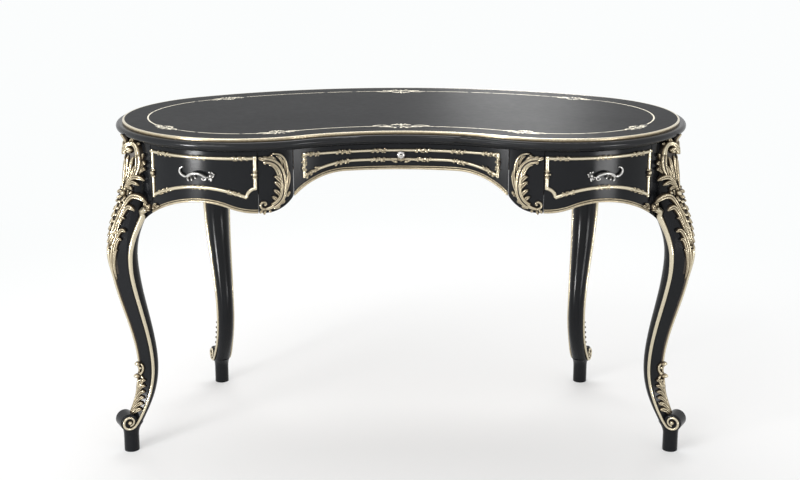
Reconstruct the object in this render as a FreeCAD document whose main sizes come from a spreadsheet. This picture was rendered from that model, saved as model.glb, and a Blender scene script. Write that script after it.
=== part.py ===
import FreeCAD, Part
import math
import os

import Sketcher
from FreeCAD import Placement, Rotation, Vector

# Kidney-shaped writing desk with carved cabriole legs and three drawers.
# The frame stands on the floor at the middle of the desk: +X to the right, +Y to the back, +Z up.

# Driving dimensions, in millimetres; azimuths are in degrees about the centre of a round end.
SIZES = {
    # Kidney outline at the outermost edge of the top: two round ends, a hollow front, a swept back.
    "desk_height": 790.0,
    "lobe_offset": 365.0,
    "lobe_forward": 52.0,
    "lobe_radius": 313.0,
    "hollow_radius": 464.5,
    "sweep_radius": 1005.5,
    # Build-up of the top, from the writing surface down.
    "crown_thick": 7.0,
    "bull_thick": 15.0,
    "bull_round": 7.0,
    "bed_thick": 9.0,
    "bed_round": 7.0,
    "bed_width": 46.0,
    "bed_proud": 10.0,
    "gilt_inset": 15.0,
    "gilt_width": 5.0,
    "gilt_round": 2.5,
    # Apron: the curved skirt under the top.
    "apron_inset": 29.0,
    "apron_thick": 22.0,
    "end_drop": 141.0,
    "end_arch": 40.0,
    "back_arch": 62.0,
    "bead_height": 7.0,
    "bead_proud": 4.0,
    # Drawer fronts: seams at azimuths on the left round end, edges measured down from the carcass top.
    "seam_gap": 1.5,
    "outer_seam_azimuth": 225.0,
    "inner_seam_azimuth": 279.7,
    "centre_seam_azimuth": 296.3,
    "crest_drop": 117.5,
    "crest_beyond": 78.0,
    "arch_share": 0.704,
    "inner_drop": 141.0,
    "hollow_drop": 107.0,
    "hollow_crest_drop": 60.0,
    "hollow_flat": 125.0,
    "stile_flat": 15.0,
    "ear_turn": 3.5,
    # Gilded panel mouldings on the drawer fronts.
    "frame_margin": 2.0,
    "frame_width": 7.0,
    "frame_proud": 4.0,
    "frame_top_drop": 12.0,
    "frame_outer_drop": 121.0,
    "frame_crest_drop": 86.5,
    "frame_crest_offset": 448.0,
    "frame_notch": 20.0,
    "frame_tip_drop": 107.0,
    "centre_margin": 19.0,
    "centre_frame_drop": 68.0,
    "centre_frame_crest": 38.0,
    # Uprights between the drawers, their scroll carving and the boards behind them.
    "stile_depth": 51.0,
    "scroll_offset": 296.0,
    "scroll_drop": 57.0,
    "scroll_radius": 49.0,
    "scroll_width": 10.0,
    "scroll_curl": 9.0,
    "scroll_proud": 8.0,
    "partition_offset": 290.0,
    "partition_thick": 20.0,
    "partition_drop": 104.0,
    # Rails and runners that carry the drawers.
    "rail_depth": 35.0,
    "rail_gap": 1.0,
    "upper_thick": 9.0,
    "bearer_drop": 92.0,
    "bearer_thick": 12.0,
    "centre_bearer_drop": 43.0,
    "centre_bearer_thick": 10.0,
    "runner_ledge": 45.0,
    "centre_ledge": 65.0,
    "runner_beyond": 40.0,
    "runner_setback": 23.0,
    "centre_setback": 63.0,
    "outer_runner_reach": 88.0,
    "outer_ledge": 22.0,
    "guide_height": 22.0,
    "guide_gap": 1.5,
    "stop_length": 20.0,
    "stop_height": 16.0,
    # Drawer boxes.
    "box_margin": 6.0,
    "box_wall": 11.0,
    "box_top_drop": 14.0,
    "box_lift": 0.4,
    "box_clearance": 9.0,
    "bottom_thick": 6.0,
    "bottom_lift": 4.0,
    # Pulls and knob.
    "pull_offset": 452.0,
    "pull_drop": 45.0,
    "pull_span": 72.0,
    "pull_stand": 15.0,
    "pull_rod": 4.0,
    "pull_boss": 8.0,
    "pull_cap": 1.0,
    "pull_sag": 11.0,
    "knob_drop": 26.0,
    "knob_radius": 11.0,
    "knob_stem": 4.5,
    "knob_stand": 12.0,
    # Cabriole legs: reach out from the apron face, depth, half width and ridge at each station.
    "front_azimuth": 210.0,
    "back_azimuth": 114.0,
    "back_setin": 22.0,
    "post_depth": 34.0,
    "post_half": 33.0,
    "post_out": 6.0,
    "knee_out": 70.0,
    "ankle_out": 15.0,
    "toe_out": 75.0,
    "crown_depth": 38.0,
    "shoulder_depth": 72.0,
    "knee_depth": 61.0,
    "ankle_depth": 45.0,
    "toe_depth": 40.0,
    "knee_half": 34.0,
    "ankle_half": 19.5,
    "post_ridge": 6.0,
    "knee_ridge": 25.0,
    "ankle_ridge": 18.0,
    "knee_height": 490.0,
    "ankle_height": 205.0,
    "toe_height": 40.0,
    # Feet: a round peg, a flared neck under the leg and the roll of the scroll.
    "peg_out": 44.0,
    "peg_radius": 18.0,
    "peg_height": 40.0,
    "neck_height": 68.0,
    "neck_out": 41.0,
    "neck_reach": 27.0,
    "neck_half": 21.0,
    "scroll_foot_out": 54.0,
    "scroll_foot_height": 77.0,
    "scroll_foot_radius": 21.0,
    "scroll_foot_length": 44.0,
    "scroll_foot_round": 5.0,
}
LEG_SECTIONS = 14
NECK_SECTIONS = 4

doc = FreeCAD.newDocument("WritingDesk")
sheet = doc.addObject("Spreadsheet::Sheet", "Sizes")
for row, (alias, value) in enumerate(SIZES.items(), start=1):
    sheet.set(f"A{row}", alias)
    sheet.set(f"B{row}", str(value))
    sheet.setAlias(f"B{row}", alias)
doc.recompute()

UP = Vector(0, 0, 1)
nodes = []


def size(alias):
    """A driving dimension, read from the sheet."""
    return float(getattr(sheet, alias))


def formula(text):
    """An expression on the sheet, written with bare size names."""
    words = text.split()
    return "".join(f"Sizes.{word}" if word in SIZES else word for word in words)


def node(item, label):
    """Keep an object as a sub-part of the desk under its own name."""
    item.Label = label
    nodes.append(item)
    return item


def solid(label, shape):
    """A sub-part whose form is worked out from the sheet's sizes."""
    item = doc.addObject("Part::Feature", label)
    item.Shape = shape
    return node(item, label)


def mirrored(shape):
    """The same shape on the other side of the desk."""
    return shape.mirror(Vector(0, 0, 0), Vector(1, 0, 0))


# Levels and the four tangent arcs of the kidney outline
CARCASS_TOP = "( desk_height - crown_thick - bull_thick - bed_thick )"
HOLLOW_Y = "( 0 - lobe_forward - sqrt ( ( hollow_radius + lobe_radius ) ^ 2 - lobe_offset ^ 2 ) )"
SWEEP_Y = "( 0 - lobe_forward - sqrt ( ( sweep_radius - lobe_radius ) ^ 2 - lobe_offset ^ 2 ) )"
FRONT_REACH = "( lobe_forward + lobe_radius )"
BACK_REACH = f"( {SWEEP_Y} + sweep_radius )"
APRON_LOBE = "( lobe_radius - apron_inset )"
OUTER_SEAM = f"( lobe_offset - {APRON_LOBE} * cos ( outer_seam_azimuth ) )"
INNER_SEAM = f"( lobe_offset - {APRON_LOBE} * cos ( inner_seam_azimuth ) )"
CENTRE_SEAM = f"( lobe_offset - {APRON_LOBE} * cos ( centre_seam_azimuth ) )"
STILE_BACK = f"( lobe_forward + {APRON_LOBE} - stile_depth )"
CREST_X = "( lobe_offset + crest_beyond )"
ARCH_RADIUS = f"( {APRON_LOBE} * arch_share )"


def worked_out(text):
    """The number that a formula on the sheet gives now."""
    return float(sheet.evalExpression(formula(text)))


carcass_top = worked_out(CARCASS_TOP)
hollow_radius = size("hollow_radius")
sweep_radius = size("sweep_radius")
hollow_y = worked_out(HOLLOW_Y)
sweep_y = worked_out(SWEEP_Y)
front_reach = worked_out(FRONT_REACH)
back_reach = worked_out(BACK_REACH)
lobe_y = -size("lobe_forward")
lobe_centre = Vector(-size("lobe_offset"), lobe_y, 0)
hollow_centre = Vector(0, hollow_y, 0)
sweep_centre = Vector(0, sweep_y, 0)
apron_lobe = worked_out(APRON_LOBE)
apron_hollow = hollow_radius + size("apron_inset")
apron_sweep = sweep_radius - size("apron_inset")
apron_thick = size("apron_thick")


def kidney(inset, z):
    """Closed outline of the top, moved in by inset, at height z."""
    lobe = size("lobe_radius") - inset
    hollow = hollow_radius + inset
    sweep = sweep_radius - inset
    offset = size("lobe_offset")
    front = Vector(offset * hollow / (hollow + lobe), 0, z)
    front.y = hollow_y + (lobe_y - hollow_y) * hollow / (hollow + lobe)
    back = Vector(offset * sweep / (sweep - lobe), 0, z)
    back.y = sweep_y + (lobe_y - sweep_y) * sweep / (sweep - lobe)
    front_left = Vector(-front.x, front.y, z)
    back_left = Vector(-back.x, back.y, z)
    arcs = (
        Part.Arc(front_left, Vector(0, hollow_y + hollow, z), front),
        Part.Arc(front, Vector(offset + lobe, lobe_y, z), back),
        Part.Arc(back, Vector(0, sweep_y + sweep, z), back_left),
        Part.Arc(back_left, Vector(-offset - lobe, lobe_y, z), front_left),
    )
    return Part.Wire([arc.toShape() for arc in arcs])


def edges_at(shape, z):
    """Edges of a shape that lie wholly at height z."""
    near = 1e-4
    return [e for e in shape.Edges if abs(e.BoundBox.ZMin - z) < near and abs(e.BoundBox.ZMax - z) < near]


def tube(centre, inner, outer, low, high):
    """Upright curved wall between two radii."""
    base = centre + UP * low
    return Part.makeCylinder(outer, high - low, base).cut(Part.makeCylinder(inner, high - low, base))


def sector(centre, inner, outer, low, high, start, end):
    """Part of such a wall between two azimuths."""
    base = UP * low
    wall = Part.makeCylinder(outer, high - low, base, UP, end - start)
    wall = wall.cut(Part.makeCylinder(inner, high - low, base))
    wall.rotate(Vector(0, 0, 0), UP, start)
    wall.translate(centre)
    return wall


def bow(end, crest):
    """Arc from end to crest that is level at crest, in the plane of the two points."""
    rise = crest.z - end.z
    run = crest - end
    radius = run.dot(run) / (2 * rise)
    centre = crest - UP * radius
    middle = (crest - centre) + (end - centre)
    middle.normalize()
    return Part.Arc(end, centre + middle * abs(radius), crest).toShape()


def line(start, end):
    return Part.LineSegment(start, end).toShape()


def at(x, drop):
    """Point of a front elevation: x across, drop below the carcass top."""
    return Vector(x, 0, carcass_top - drop)


def forward(face):
    """Prism of an elevation face, from the middle of the desk to its front."""
    return face.extrude(Vector(0, -front_reach, 0))


def strip_face(curves, height):
    """Band of one height above a chain of elevation curves."""
    upper = [curve.translated(UP * height) for curve in curves]
    chain = Part.Wire(Part.sortEdges(curves)[0])
    start = chain.OrderedVertexes[0].Point
    finish = chain.OrderedVertexes[-1].Point
    sides = [line(start, start + UP * height), line(finish, finish + UP * height)]
    return Part.Face(Part.Wire(Part.sortEdges(curves + upper + sides)[0]))


# Top board with its bullnose edge and raised field, the gilded fillet round it, the coved bed moulding
bull_low = carcass_top + size("bed_thick")
bull_high = bull_low + size("bull_thick")
slab = Part.Face(kidney(0, bull_low)).extrude(UP * size("bull_thick"))
slab = slab.makeFillet(size("bull_round"), edges_at(slab, bull_low) + edges_at(slab, bull_high))
field_inset = size("gilt_inset") + size("gilt_width")
field = Part.Face(kidney(field_inset, bull_high)).extrude(UP * size("crown_thick"))
solid("top_panel", slab.fuse(field).removeSplitter())

gilt_outer = Part.Face(kidney(size("gilt_inset"), bull_high)).extrude(UP * size("crown_thick"))
gilt_outer = gilt_outer.makeFillet(size("gilt_round"), edges_at(gilt_outer, size("desk_height")))
solid("top_gilt_edge", gilt_outer.cut(field))

bed_inset = size("apron_inset") - size("bed_proud")
bed = Part.Face(kidney(bed_inset, carcass_top)).extrude(UP * size("bed_thick"))
bed = bed.makeFillet(size("bed_round"), edges_at(bed, carcass_top))
bed_hole = Part.Face(kidney(bed_inset + size("bed_width"), carcass_top)).extrude(UP * size("bed_thick"))
solid("bed_moulding", bed.cut(bed_hole))


# Cabriole legs: a lofted S-curve with an outer ridge, a square post, and a foot of roll, neck and peg
def ease(share):
    return share * share * (3 - 2 * share)


def station(z, marks):
    """Value at height z on a smooth curve through (height, value) marks that run downward."""
    if z >= marks[0][0]:
        return marks[0][1]
    for (high, above), (low, below) in zip(marks, marks[1:]):
        if z >= low:
            return above + (below - above) * ease((high - z) / (high - low))
    return marks[-1][1]


def post_block():
    corner = Vector(apron_lobe - size("post_depth"), -size("post_half"), carcass_top - size("end_drop"))
    return Part.makeBox(size("post_depth"), 2 * size("post_half"), size("end_drop"), corner)


def leg_section(z, setin):
    """Horizontal section: two flat outer faces meeting in a ridge, one round inner face."""
    knee = size("knee_height")
    ankle = size("ankle_height")
    toe = size("toe_height")
    shoulder = carcass_top - size("end_drop")
    shift = station(z, [(carcass_top, 0), (knee, setin)])
    outs = [(carcass_top, size("post_out")), (knee, size("knee_out")), (ankle, size("ankle_out"))]
    fall = max(0, (ankle - z) / (ankle - toe))
    kick = (size("toe_out") - size("ankle_out")) * fall * fall
    depths = [(carcass_top, size("crown_depth")), (shoulder, size("shoulder_depth"))]
    depths += [(knee, size("knee_depth")), (ankle, size("ankle_depth")), (toe, size("toe_depth"))]
    halves = [(carcass_top, size("post_half")), (shoulder, size("knee_half")), (ankle, size("ankle_half"))]
    ridges = [(carcass_top, size("post_ridge")), (knee, size("knee_ridge")), (ankle, size("ankle_ridge"))]
    outer = apron_lobe + station(z, outs) + kick - shift
    inner = outer - station(z, depths)
    half = station(z, halves)
    side = outer - station(z, ridges)
    ridge_point = Vector(outer, 0, z)
    left = Vector(side, half, z)
    right = Vector(side, -half, z)
    back = Part.Arc(left, Vector(inner, 0, z), right).toShape()
    return Part.Wire([line(ridge_point, left), back, line(right, ridge_point)])


def neck_section(share, setin):
    """Oval section of the foot's neck: share 0 is the round peg, 1 is under the leg."""
    flare = share * share
    peg = size("peg_radius")
    reach = peg + (size("neck_reach") - peg) * flare
    half = peg + (size("neck_half") - peg) * flare
    out = size("peg_out") + (size("neck_out") - size("peg_out")) * flare
    z = size("peg_height") + (size("neck_height") - size("peg_height")) * share
    oval = Part.Ellipse(Vector(apron_lobe + out - setin, 0, z), reach, half)
    return Part.Wire(oval.toShape())


def foot_shape(setin):
    """Peg, neck and roll below the leg's shaft."""
    peg = Part.makeCylinder(size("peg_radius"), size("peg_height"))
    peg.translate(Vector(apron_lobe + size("peg_out") - setin, 0, 0))
    ovals = [neck_section(i / NECK_SECTIONS, setin) for i in range(NECK_SECTIONS + 1)]
    neck = Part.makeLoft(ovals, True, False)
    length = size("scroll_foot_length")
    reach = apron_lobe + size("scroll_foot_out") - setin
    place = Vector(reach, -length / 2, size("scroll_foot_height"))
    roll = Part.makeCylinder(size("scroll_foot_radius"), length, place, Vector(0, 1, 0))
    rims = [edge for edge in roll.Edges if edge.Closed and len(edge.Vertexes) == 1]
    return [peg, neck, roll.makeFillet(size("scroll_foot_round"), rims)]


def leg_shape(setin):
    foot = size("neck_height")
    step = (carcass_top - foot) / LEG_SECTIONS
    sections = [leg_section(foot + step * i, setin) for i in range(LEG_SECTIONS + 1)]
    shaft = Part.makeLoft(sections, True, False)
    return shaft.fuse([post_block()] + foot_shape(setin))


def leg_place(side, azimuth):
    """Placement of a leg: side is -1 on the left, +1 on the right."""
    turn = azimuth if side < 0 else 180 - azimuth
    return Placement(Vector(side * size("lobe_offset"), lobe_y, 0), Rotation(UP, turn))


front_leg = leg_shape(0)
back_leg = leg_shape(size("back_setin"))
for side, word in ((-1, "left"), (1, "right")):
    solid(f"leg_front_{word}", front_leg).Placement = leg_place(side, size("front_azimuth"))
    solid(f"leg_back_{word}", back_leg).Placement = leg_place(side, size("back_azimuth"))
front_post = post_block()
front_post.Placement = leg_place(-1, size("front_azimuth"))
back_post = post_block()
back_post.Placement = leg_place(-1, size("back_azimuth"))


# End rails and back rail, curved boards between the posts, each with an arched lower edge and a gilded bead
def end_arch(drop):
    """The two arcs of an end rail's lower edge, seen from the side."""
    radius = apron_lobe - apron_thick
    front = Vector(0, lobe_y - radius * math.sin(math.radians(size("front_azimuth") - 180)), 0)
    back = Vector(0, lobe_y + radius * math.sin(math.radians(180 - size("back_azimuth"))), 0)
    crest = (front + back) * 0.5 + UP * (carcass_top - drop + size("end_arch"))
    front.z = carcass_top - drop
    back.z = carcass_top - drop
    return [bow(front, crest), bow(back, crest)]


def below(curves, depth):
    """Face under a chain of curves, as deep as needed to cut it away."""
    chain = Part.Wire(Part.sortEdges(curves)[0])
    start = chain.OrderedVertexes[0].Point
    finish = chain.OrderedVertexes[-1].Point
    low_start = start - UP * depth
    low_finish = finish - UP * depth
    sides = [line(start, low_start), line(low_start, low_finish), line(low_finish, finish)]
    return Part.Face(Part.Wire(Part.sortEdges(curves + sides)[0]))


end_low = carcass_top - size("end_drop")
end_curves = end_arch(size("end_drop"))
outward = Vector(-size("lobe_offset") - size("lobe_radius"), 0, 0)
end_wall = sector(lobe_centre, apron_lobe - apron_thick, apron_lobe, end_low, carcass_top,
                  size("back_azimuth"), size("front_azimuth"))
end_rail = end_wall.cut([below(end_curves, size("end_arch")).extrude(outward), front_post, back_post])
end_skin = sector(lobe_centre, apron_lobe, apron_lobe + size("bead_proud"), end_low, carcass_top,
                  size("back_azimuth"), size("front_azimuth"))
leg_fl = front_leg.copy()
leg_fl.Placement = leg_place(-1, size("front_azimuth"))
leg_bl = back_leg.copy()
leg_bl.Placement = leg_place(-1, size("back_azimuth"))
end_rail = end_rail.cut([leg_fl, leg_bl])
end_bead = end_skin.common(strip_face(end_curves, size("bead_height")).extrude(outward))
end_bead = end_bead.cut([leg_fl, leg_bl])
solid("end_rail_left", end_rail)
solid("end_rail_right", mirrored(end_rail))
solid("apron_bead_left", end_bead)
solid("apron_bead_right", mirrored(end_bead))

post_centre = back_post.CenterOfMass
sweep_turn = math.degrees(math.atan2(post_centre.y - sweep_y, -post_centre.x))
back_wall = sector(sweep_centre, apron_sweep - apron_thick, apron_sweep, end_low, carcass_top,
                   sweep_turn, 180 - sweep_turn)
back_skin = sector(sweep_centre, apron_sweep, apron_sweep + size("bead_proud"), end_low, carcass_top,
                   sweep_turn, 180 - sweep_turn)
back_crest = at(0, size("end_drop") - size("back_arch"))
back_curves = [bow(at(x, size("end_drop")), back_crest) for x in (post_centre.x, -post_centre.x)]
rearward = Vector(0, back_reach, 0)
back_legs = [leg_bl, mirrored(leg_bl)]
back_rail = back_wall.cut([below(back_curves, size("back_arch")).extrude(rearward)] + back_legs)
back_bead = back_skin.common(strip_face(back_curves, size("bead_height")).extrude(rearward)).cut(back_legs)
solid("back_rail", back_rail)
solid("apron_bead_back", back_bead)

# Corner stiles: they carry the front's curve from the leg post to the side drawer's seam,
# and their ears continue the arch of the drawer's lower edge down onto the leg
crest = at(-worked_out(CREST_X), size("crest_drop"))
arch_radius = worked_out(ARCH_RADIUS)


def arch_point(x):
    """Point of the arch that the side drawer's lower edge and the ear share."""
    run = x - crest.x
    return crest + Vector(run, 0, math.sqrt(arch_radius * arch_radius - run * run) - arch_radius)


ear_start = size("front_azimuth") + size("ear_turn")
ear_finish = 2 * size("outer_seam_azimuth") - ear_start
ear_tip = arch_point(lobe_centre.x + apron_lobe * math.cos(math.radians(ear_start)))
front_low = ear_tip.z
corner_inner = math.hypot(apron_lobe - size("post_depth"), size("post_half"))
corner_wall = sector(lobe_centre, corner_inner, apron_lobe, end_low, carcass_top, ear_start, ear_finish)
ear = sector(lobe_centre, apron_lobe - apron_thick, apron_lobe, front_low, end_low, ear_start, ear_finish)
ear = ear.cut(forward(below([bow(ear_tip, crest)], arch_radius)))
seam_x = -worked_out(OUTER_SEAM) - size("seam_gap")
seam_block = Part.makeBox(-seam_x, front_reach, size("desk_height"), Vector(seam_x, -front_reach, 0))
corner = corner_wall.fuse(ear).cut([front_post, seam_block, leg_fl]).removeSplitter()
solid("corner_stile_left", corner)
solid("corner_stile_right", mirrored(corner))

# Drawer fronts: bowed on the lobes, hollow in the middle, all with a scalloped lower edge
outer_x = -worked_out(OUTER_SEAM)
inner_x = -worked_out(INNER_SEAM)
inner_end = at(inner_x, size("inner_drop"))
turning = (crest + inner_end) * 0.5
side_curves = [bow(arch_point(outer_x), crest), bow(turning, crest), bow(turning, inner_end)]
gap = size("seam_gap")


def front_face(curves, left, right):
    """Elevation of a drawer front above its lower edge."""
    chain = Part.Wire(Part.sortEdges(curves)[0])
    ends = sorted((chain.OrderedVertexes[0].Point, chain.OrderedVertexes[-1].Point), key=lambda p: p.x)
    top_left = at(left, gap)
    top_right = at(right, gap)
    sides = [line(ends[0], top_left), line(top_left, top_right), line(top_right, ends[1])]
    return Part.Face(Part.Wire(Part.sortEdges(curves + sides)[0]))


lobe_wall = tube(lobe_centre, apron_lobe - apron_thick, apron_lobe, front_low, carcass_top)
side_front = lobe_wall.common(forward(front_face(side_curves, outer_x, inner_x)))
solid("left_front", side_front)
solid("right_front", mirrored(side_front))

centre_x = worked_out(CENTRE_SEAM)
flat_ends = [at(x, size("hollow_crest_drop")) for x in (-size("hollow_flat"), size("hollow_flat"))]
arch_ends = [at(x, size("hollow_drop")) for x in (-centre_x, centre_x)]
centre_curves = [bow(low, high) for low, high in zip(arch_ends, flat_ends)] + [line(*flat_ends)]
hollow_wall = tube(hollow_centre, apron_hollow, apron_hollow + apron_thick, front_low, carcass_top)
solid("centre_front", hollow_wall.common(forward(front_face(centre_curves, -centre_x, centre_x))))

# Gilded beads along the lower edges of the fronts
lobe_skin = tube(lobe_centre, apron_lobe, apron_lobe + size("bead_proud"), front_low, carcass_top)
hollow_skin = tube(hollow_centre, apron_hollow - size("bead_proud"), apron_hollow, front_low, carcass_top)
side_bead = lobe_skin.common(forward(strip_face(side_curves, size("bead_height"))))
solid("left_bead", side_bead)
solid("right_bead", mirrored(side_bead))
solid("centre_bead", hollow_skin.common(forward(strip_face(centre_curves, size("bead_height")))))


# Gilded panel mouldings: a shaped border applied to each front
def border(edges):
    panel = Part.Face(Part.Wire(Part.sortEdges(edges)[0]))
    inner = panel.makeOffset2D(-size("frame_width"))
    return panel.cut(inner)


frame_left = outer_x + size("frame_margin")
frame_right = inner_x - size("frame_margin")
frame_top = size("frame_top_drop")
tip = at(frame_right - size("frame_notch"), size("frame_tip_drop"))
notch_top = at(frame_right, size("frame_tip_drop") - size("frame_notch"))
notch_diagonal = Vector(-1, 0, 1) * (size("frame_notch") / math.sqrt(2))
notch_middle = at(frame_right, size("frame_tip_drop")) + notch_diagonal
frame_crest = at(-size("frame_crest_offset"), size("frame_crest_drop"))
frame_corner = at(frame_left, size("frame_outer_drop"))
side_border = border([
    line(frame_corner, at(frame_left, frame_top)),
    line(at(frame_left, frame_top), at(frame_right, frame_top)),
    line(at(frame_right, frame_top), notch_top),
    Part.Arc(notch_top, notch_middle, tip).toShape(),
    bow(tip, frame_crest),
    bow(frame_corner, frame_crest),
])
frame_skin = tube(lobe_centre, apron_lobe, apron_lobe + size("frame_proud"), front_low, carcass_top)
side_frame = frame_skin.common(forward(side_border))
solid("left_frame", side_frame)
solid("right_frame", mirrored(side_frame))

centre_edge = centre_x - size("centre_margin")
centre_top = at(0, size("centre_frame_crest"))
centre_border = border([
    line(at(-centre_edge, size("centre_frame_drop")), at(-centre_edge, frame_top)),
    line(at(-centre_edge, frame_top), at(centre_edge, frame_top)),
    line(at(centre_edge, frame_top), at(centre_edge, size("centre_frame_drop"))),
    bow(at(-centre_edge, size("centre_frame_drop")), centre_top),
    bow(at(centre_edge, size("centre_frame_drop")), centre_top),
])
centre_skin = tube(hollow_centre, apron_hollow - size("frame_proud"), apron_hollow, front_low, carcass_top)
solid("centre_frame", centre_skin.common(forward(centre_border)))

# Stiles between the drawers, with a carved C-scroll on each
stile_left = inner_x + gap
stile_right = -centre_x - gap
stile_block = Part.makeBox(stile_right - stile_left, size("stile_depth"), size("inner_drop"),
                           Vector(stile_left, -front_reach + size("apron_inset"),
                                  carcass_top - size("inner_drop")))
stile_turn = at(stile_left + size("stile_flat"), size("inner_drop"))
stile_curve = [line(at(stile_left, size("inner_drop")), stile_turn),
               bow(at(stile_right, size("hollow_drop")), stile_turn)]
stile_drum = Part.makeCylinder(apron_lobe, carcass_top - front_low, lobe_centre + UP * front_low)
stile_cut = forward(below(stile_curve, size("inner_drop")))
stile = stile_block.common(stile_drum).cut(stile_cut)
solid("stile_left", stile)
solid("stile_right", mirrored(stile))

scroll_centre = at(-size("scroll_offset"), size("scroll_drop"))
scroll_outer = size("scroll_radius")
scroll_inner = scroll_outer - size("scroll_width")
toward_front = Vector(0, -1, 0)
band = Part.makeCylinder(scroll_outer, front_reach, scroll_centre, toward_front)
band = band.cut(Part.makeCylinder(scroll_inner, front_reach, scroll_centre, toward_front))
right_half = Part.makeBox(scroll_outer, front_reach, 2 * scroll_outer,
                          scroll_centre + Vector(0, -front_reach, -scroll_outer))
curl_rise = scroll_outer - size("scroll_curl")
curls = [Part.makeCylinder(size("scroll_curl"), front_reach, scroll_centre + UP * rise, toward_front)
         for rise in (curl_rise, -curl_rise)]
scroll_skin = tube(lobe_centre, apron_lobe, apron_lobe + size("scroll_proud"), front_low, carcass_top)
scroll = scroll_skin.common(band.common(right_half).fuse(curls))
solid("stile_carving_left", scroll)
solid("stile_carving_right", mirrored(scroll))


# Plain blocks and round cutters, bound to the sheet
def block(name, x, y, z):
    """Box between a pair of formulas along each axis."""
    item = doc.addObject("Part::Box", name)
    for side, axis, (low, high) in (("Length", "x", x), ("Width", "y", y), ("Height", "z", z)):
        item.setExpression(side, formula(f"( {high} ) - ( {low} )"))
        item.setExpression(f"Placement.Base.{axis}", formula(low))
    return item


def drum(name, x, y, radius):
    """Upright cylinder over the whole height of the desk."""
    item = doc.addObject("Part::Cylinder", name)
    item.setExpression("Radius", formula(radius))
    item.setExpression("Height", formula("desk_height"))
    item.setExpression("Placement.Base.x", formula(x))
    item.setExpression("Placement.Base.y", formula(y))
    return item


def meeting(name, base, tool):
    item = doc.addObject("Part::Common", name)
    item.Base = base
    item.Tool = tool
    return item


def less(name, base, tool):
    item = doc.addObject("Part::Cut", name)
    item.Base = base
    item.Tool = tool
    return item


def span(side, near, far):
    """Pair of x formulas between two distances from the middle, on one side of the desk."""
    if side < 0:
        return (f"0 - ( {far} )", f"0 - ( {near} )")
    return (near, far)


LOBE_X = {-1: "0 - lobe_offset", 1: "lobe_offset"}
LOBE_Y = "0 - lobe_forward"
LOBE_INNER = f"{APRON_LOBE} - apron_thick"
HOLLOW_INNER = "hollow_radius + apron_inset + apron_thick"
SWEEP_INNER = "sweep_radius - apron_inset - apron_thick"
BOX_EDGE = f"( {OUTER_SEAM} - box_margin )"
BOX_REACH = f"sqrt ( ( {LOBE_INNER} - box_clearance ) ^ 2 - ( {BOX_EDGE} - lobe_offset ) ^ 2 )"
BOX_BACK = f"( {BOX_REACH} - lobe_forward )"
RUNNER_BACK = f"( {BOX_BACK} + runner_beyond )"
BEARER_TOP = f"{CARCASS_TOP} - bearer_drop"
CENTRE_BEARER_TOP = f"{CARCASS_TOP} - centre_bearer_drop"
SIDE_RAIL = (f"{BEARER_TOP} - bearer_thick", BEARER_TOP)
CENTRE_RAIL = (f"{CENTRE_BEARER_TOP} - centre_bearer_thick", CENTRE_BEARER_TOP)
UPPER_RAIL = (f"{CARCASS_TOP} - upper_thick", CARCASS_TOP)
FRONT_HALF = (f"0 - {FRONT_REACH}", LOBE_Y)
SIDES = ((-1, "left"), (1, "right"))


# Bearers under the drawers and upper rails over them, curved to follow the fronts
def side_rail(label, side, z):
    wall = less(f"{label}_wall",
                drum(f"{label}_outer", LOBE_X[side], LOBE_Y, f"{LOBE_INNER} - rail_gap"),
                drum(f"{label}_inner", LOBE_X[side], LOBE_Y, f"{LOBE_INNER} - rail_gap - rail_depth"))
    piece = block(f"{label}_block", span(side, f"{INNER_SEAM} - seam_gap", f"{OUTER_SEAM} + seam_gap"),
                  FRONT_HALF, z)
    post = doc.addObject("Part::Feature", f"{label}_post")
    post.Shape = post_block()
    post.Placement = leg_place(side, size("front_azimuth"))
    node(less(label, meeting(f"{label}_strip", piece, wall), post), label)


def centre_rail(label, z):
    wall = less(f"{label}_wall",
                drum(f"{label}_outer", "0", HOLLOW_Y, f"{HOLLOW_INNER} + rail_gap + rail_depth"),
                drum(f"{label}_inner", "0", HOLLOW_Y, f"{HOLLOW_INNER} + rail_gap"))
    wide = "partition_offset - partition_thick / 2"
    piece = block(f"{label}_block", (f"0 - ( {wide} )", wide), (f"0 - {STILE_BACK}", "0"), z)
    node(meeting(label, piece, wall), label)


for side, word in SIDES:
    side_rail(f"bearer_{word}", side, SIDE_RAIL)
    side_rail(f"upper_rail_{word}", side, UPPER_RAIL)
centre_rail("bearer_centre", CENTRE_RAIL)
centre_rail("upper_rail_centre", UPPER_RAIL)

# Partitions: boards from the stiles to the back rail
PART_IN = "partition_offset - partition_thick / 2"
PART_OUT = "partition_offset + partition_thick / 2"
for side, word in SIDES:
    label = f"partition_{word}"
    board = block(f"{label}_block",
                  span(side, PART_IN, PART_OUT),
                  (f"0 - {STILE_BACK}", BACK_REACH), (f"{CARCASS_TOP} - partition_drop", CARCASS_TOP))
    node(meeting(label, board, drum(f"{label}_sweep", "0", SWEEP_Y, SWEEP_INNER)), label)


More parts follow.
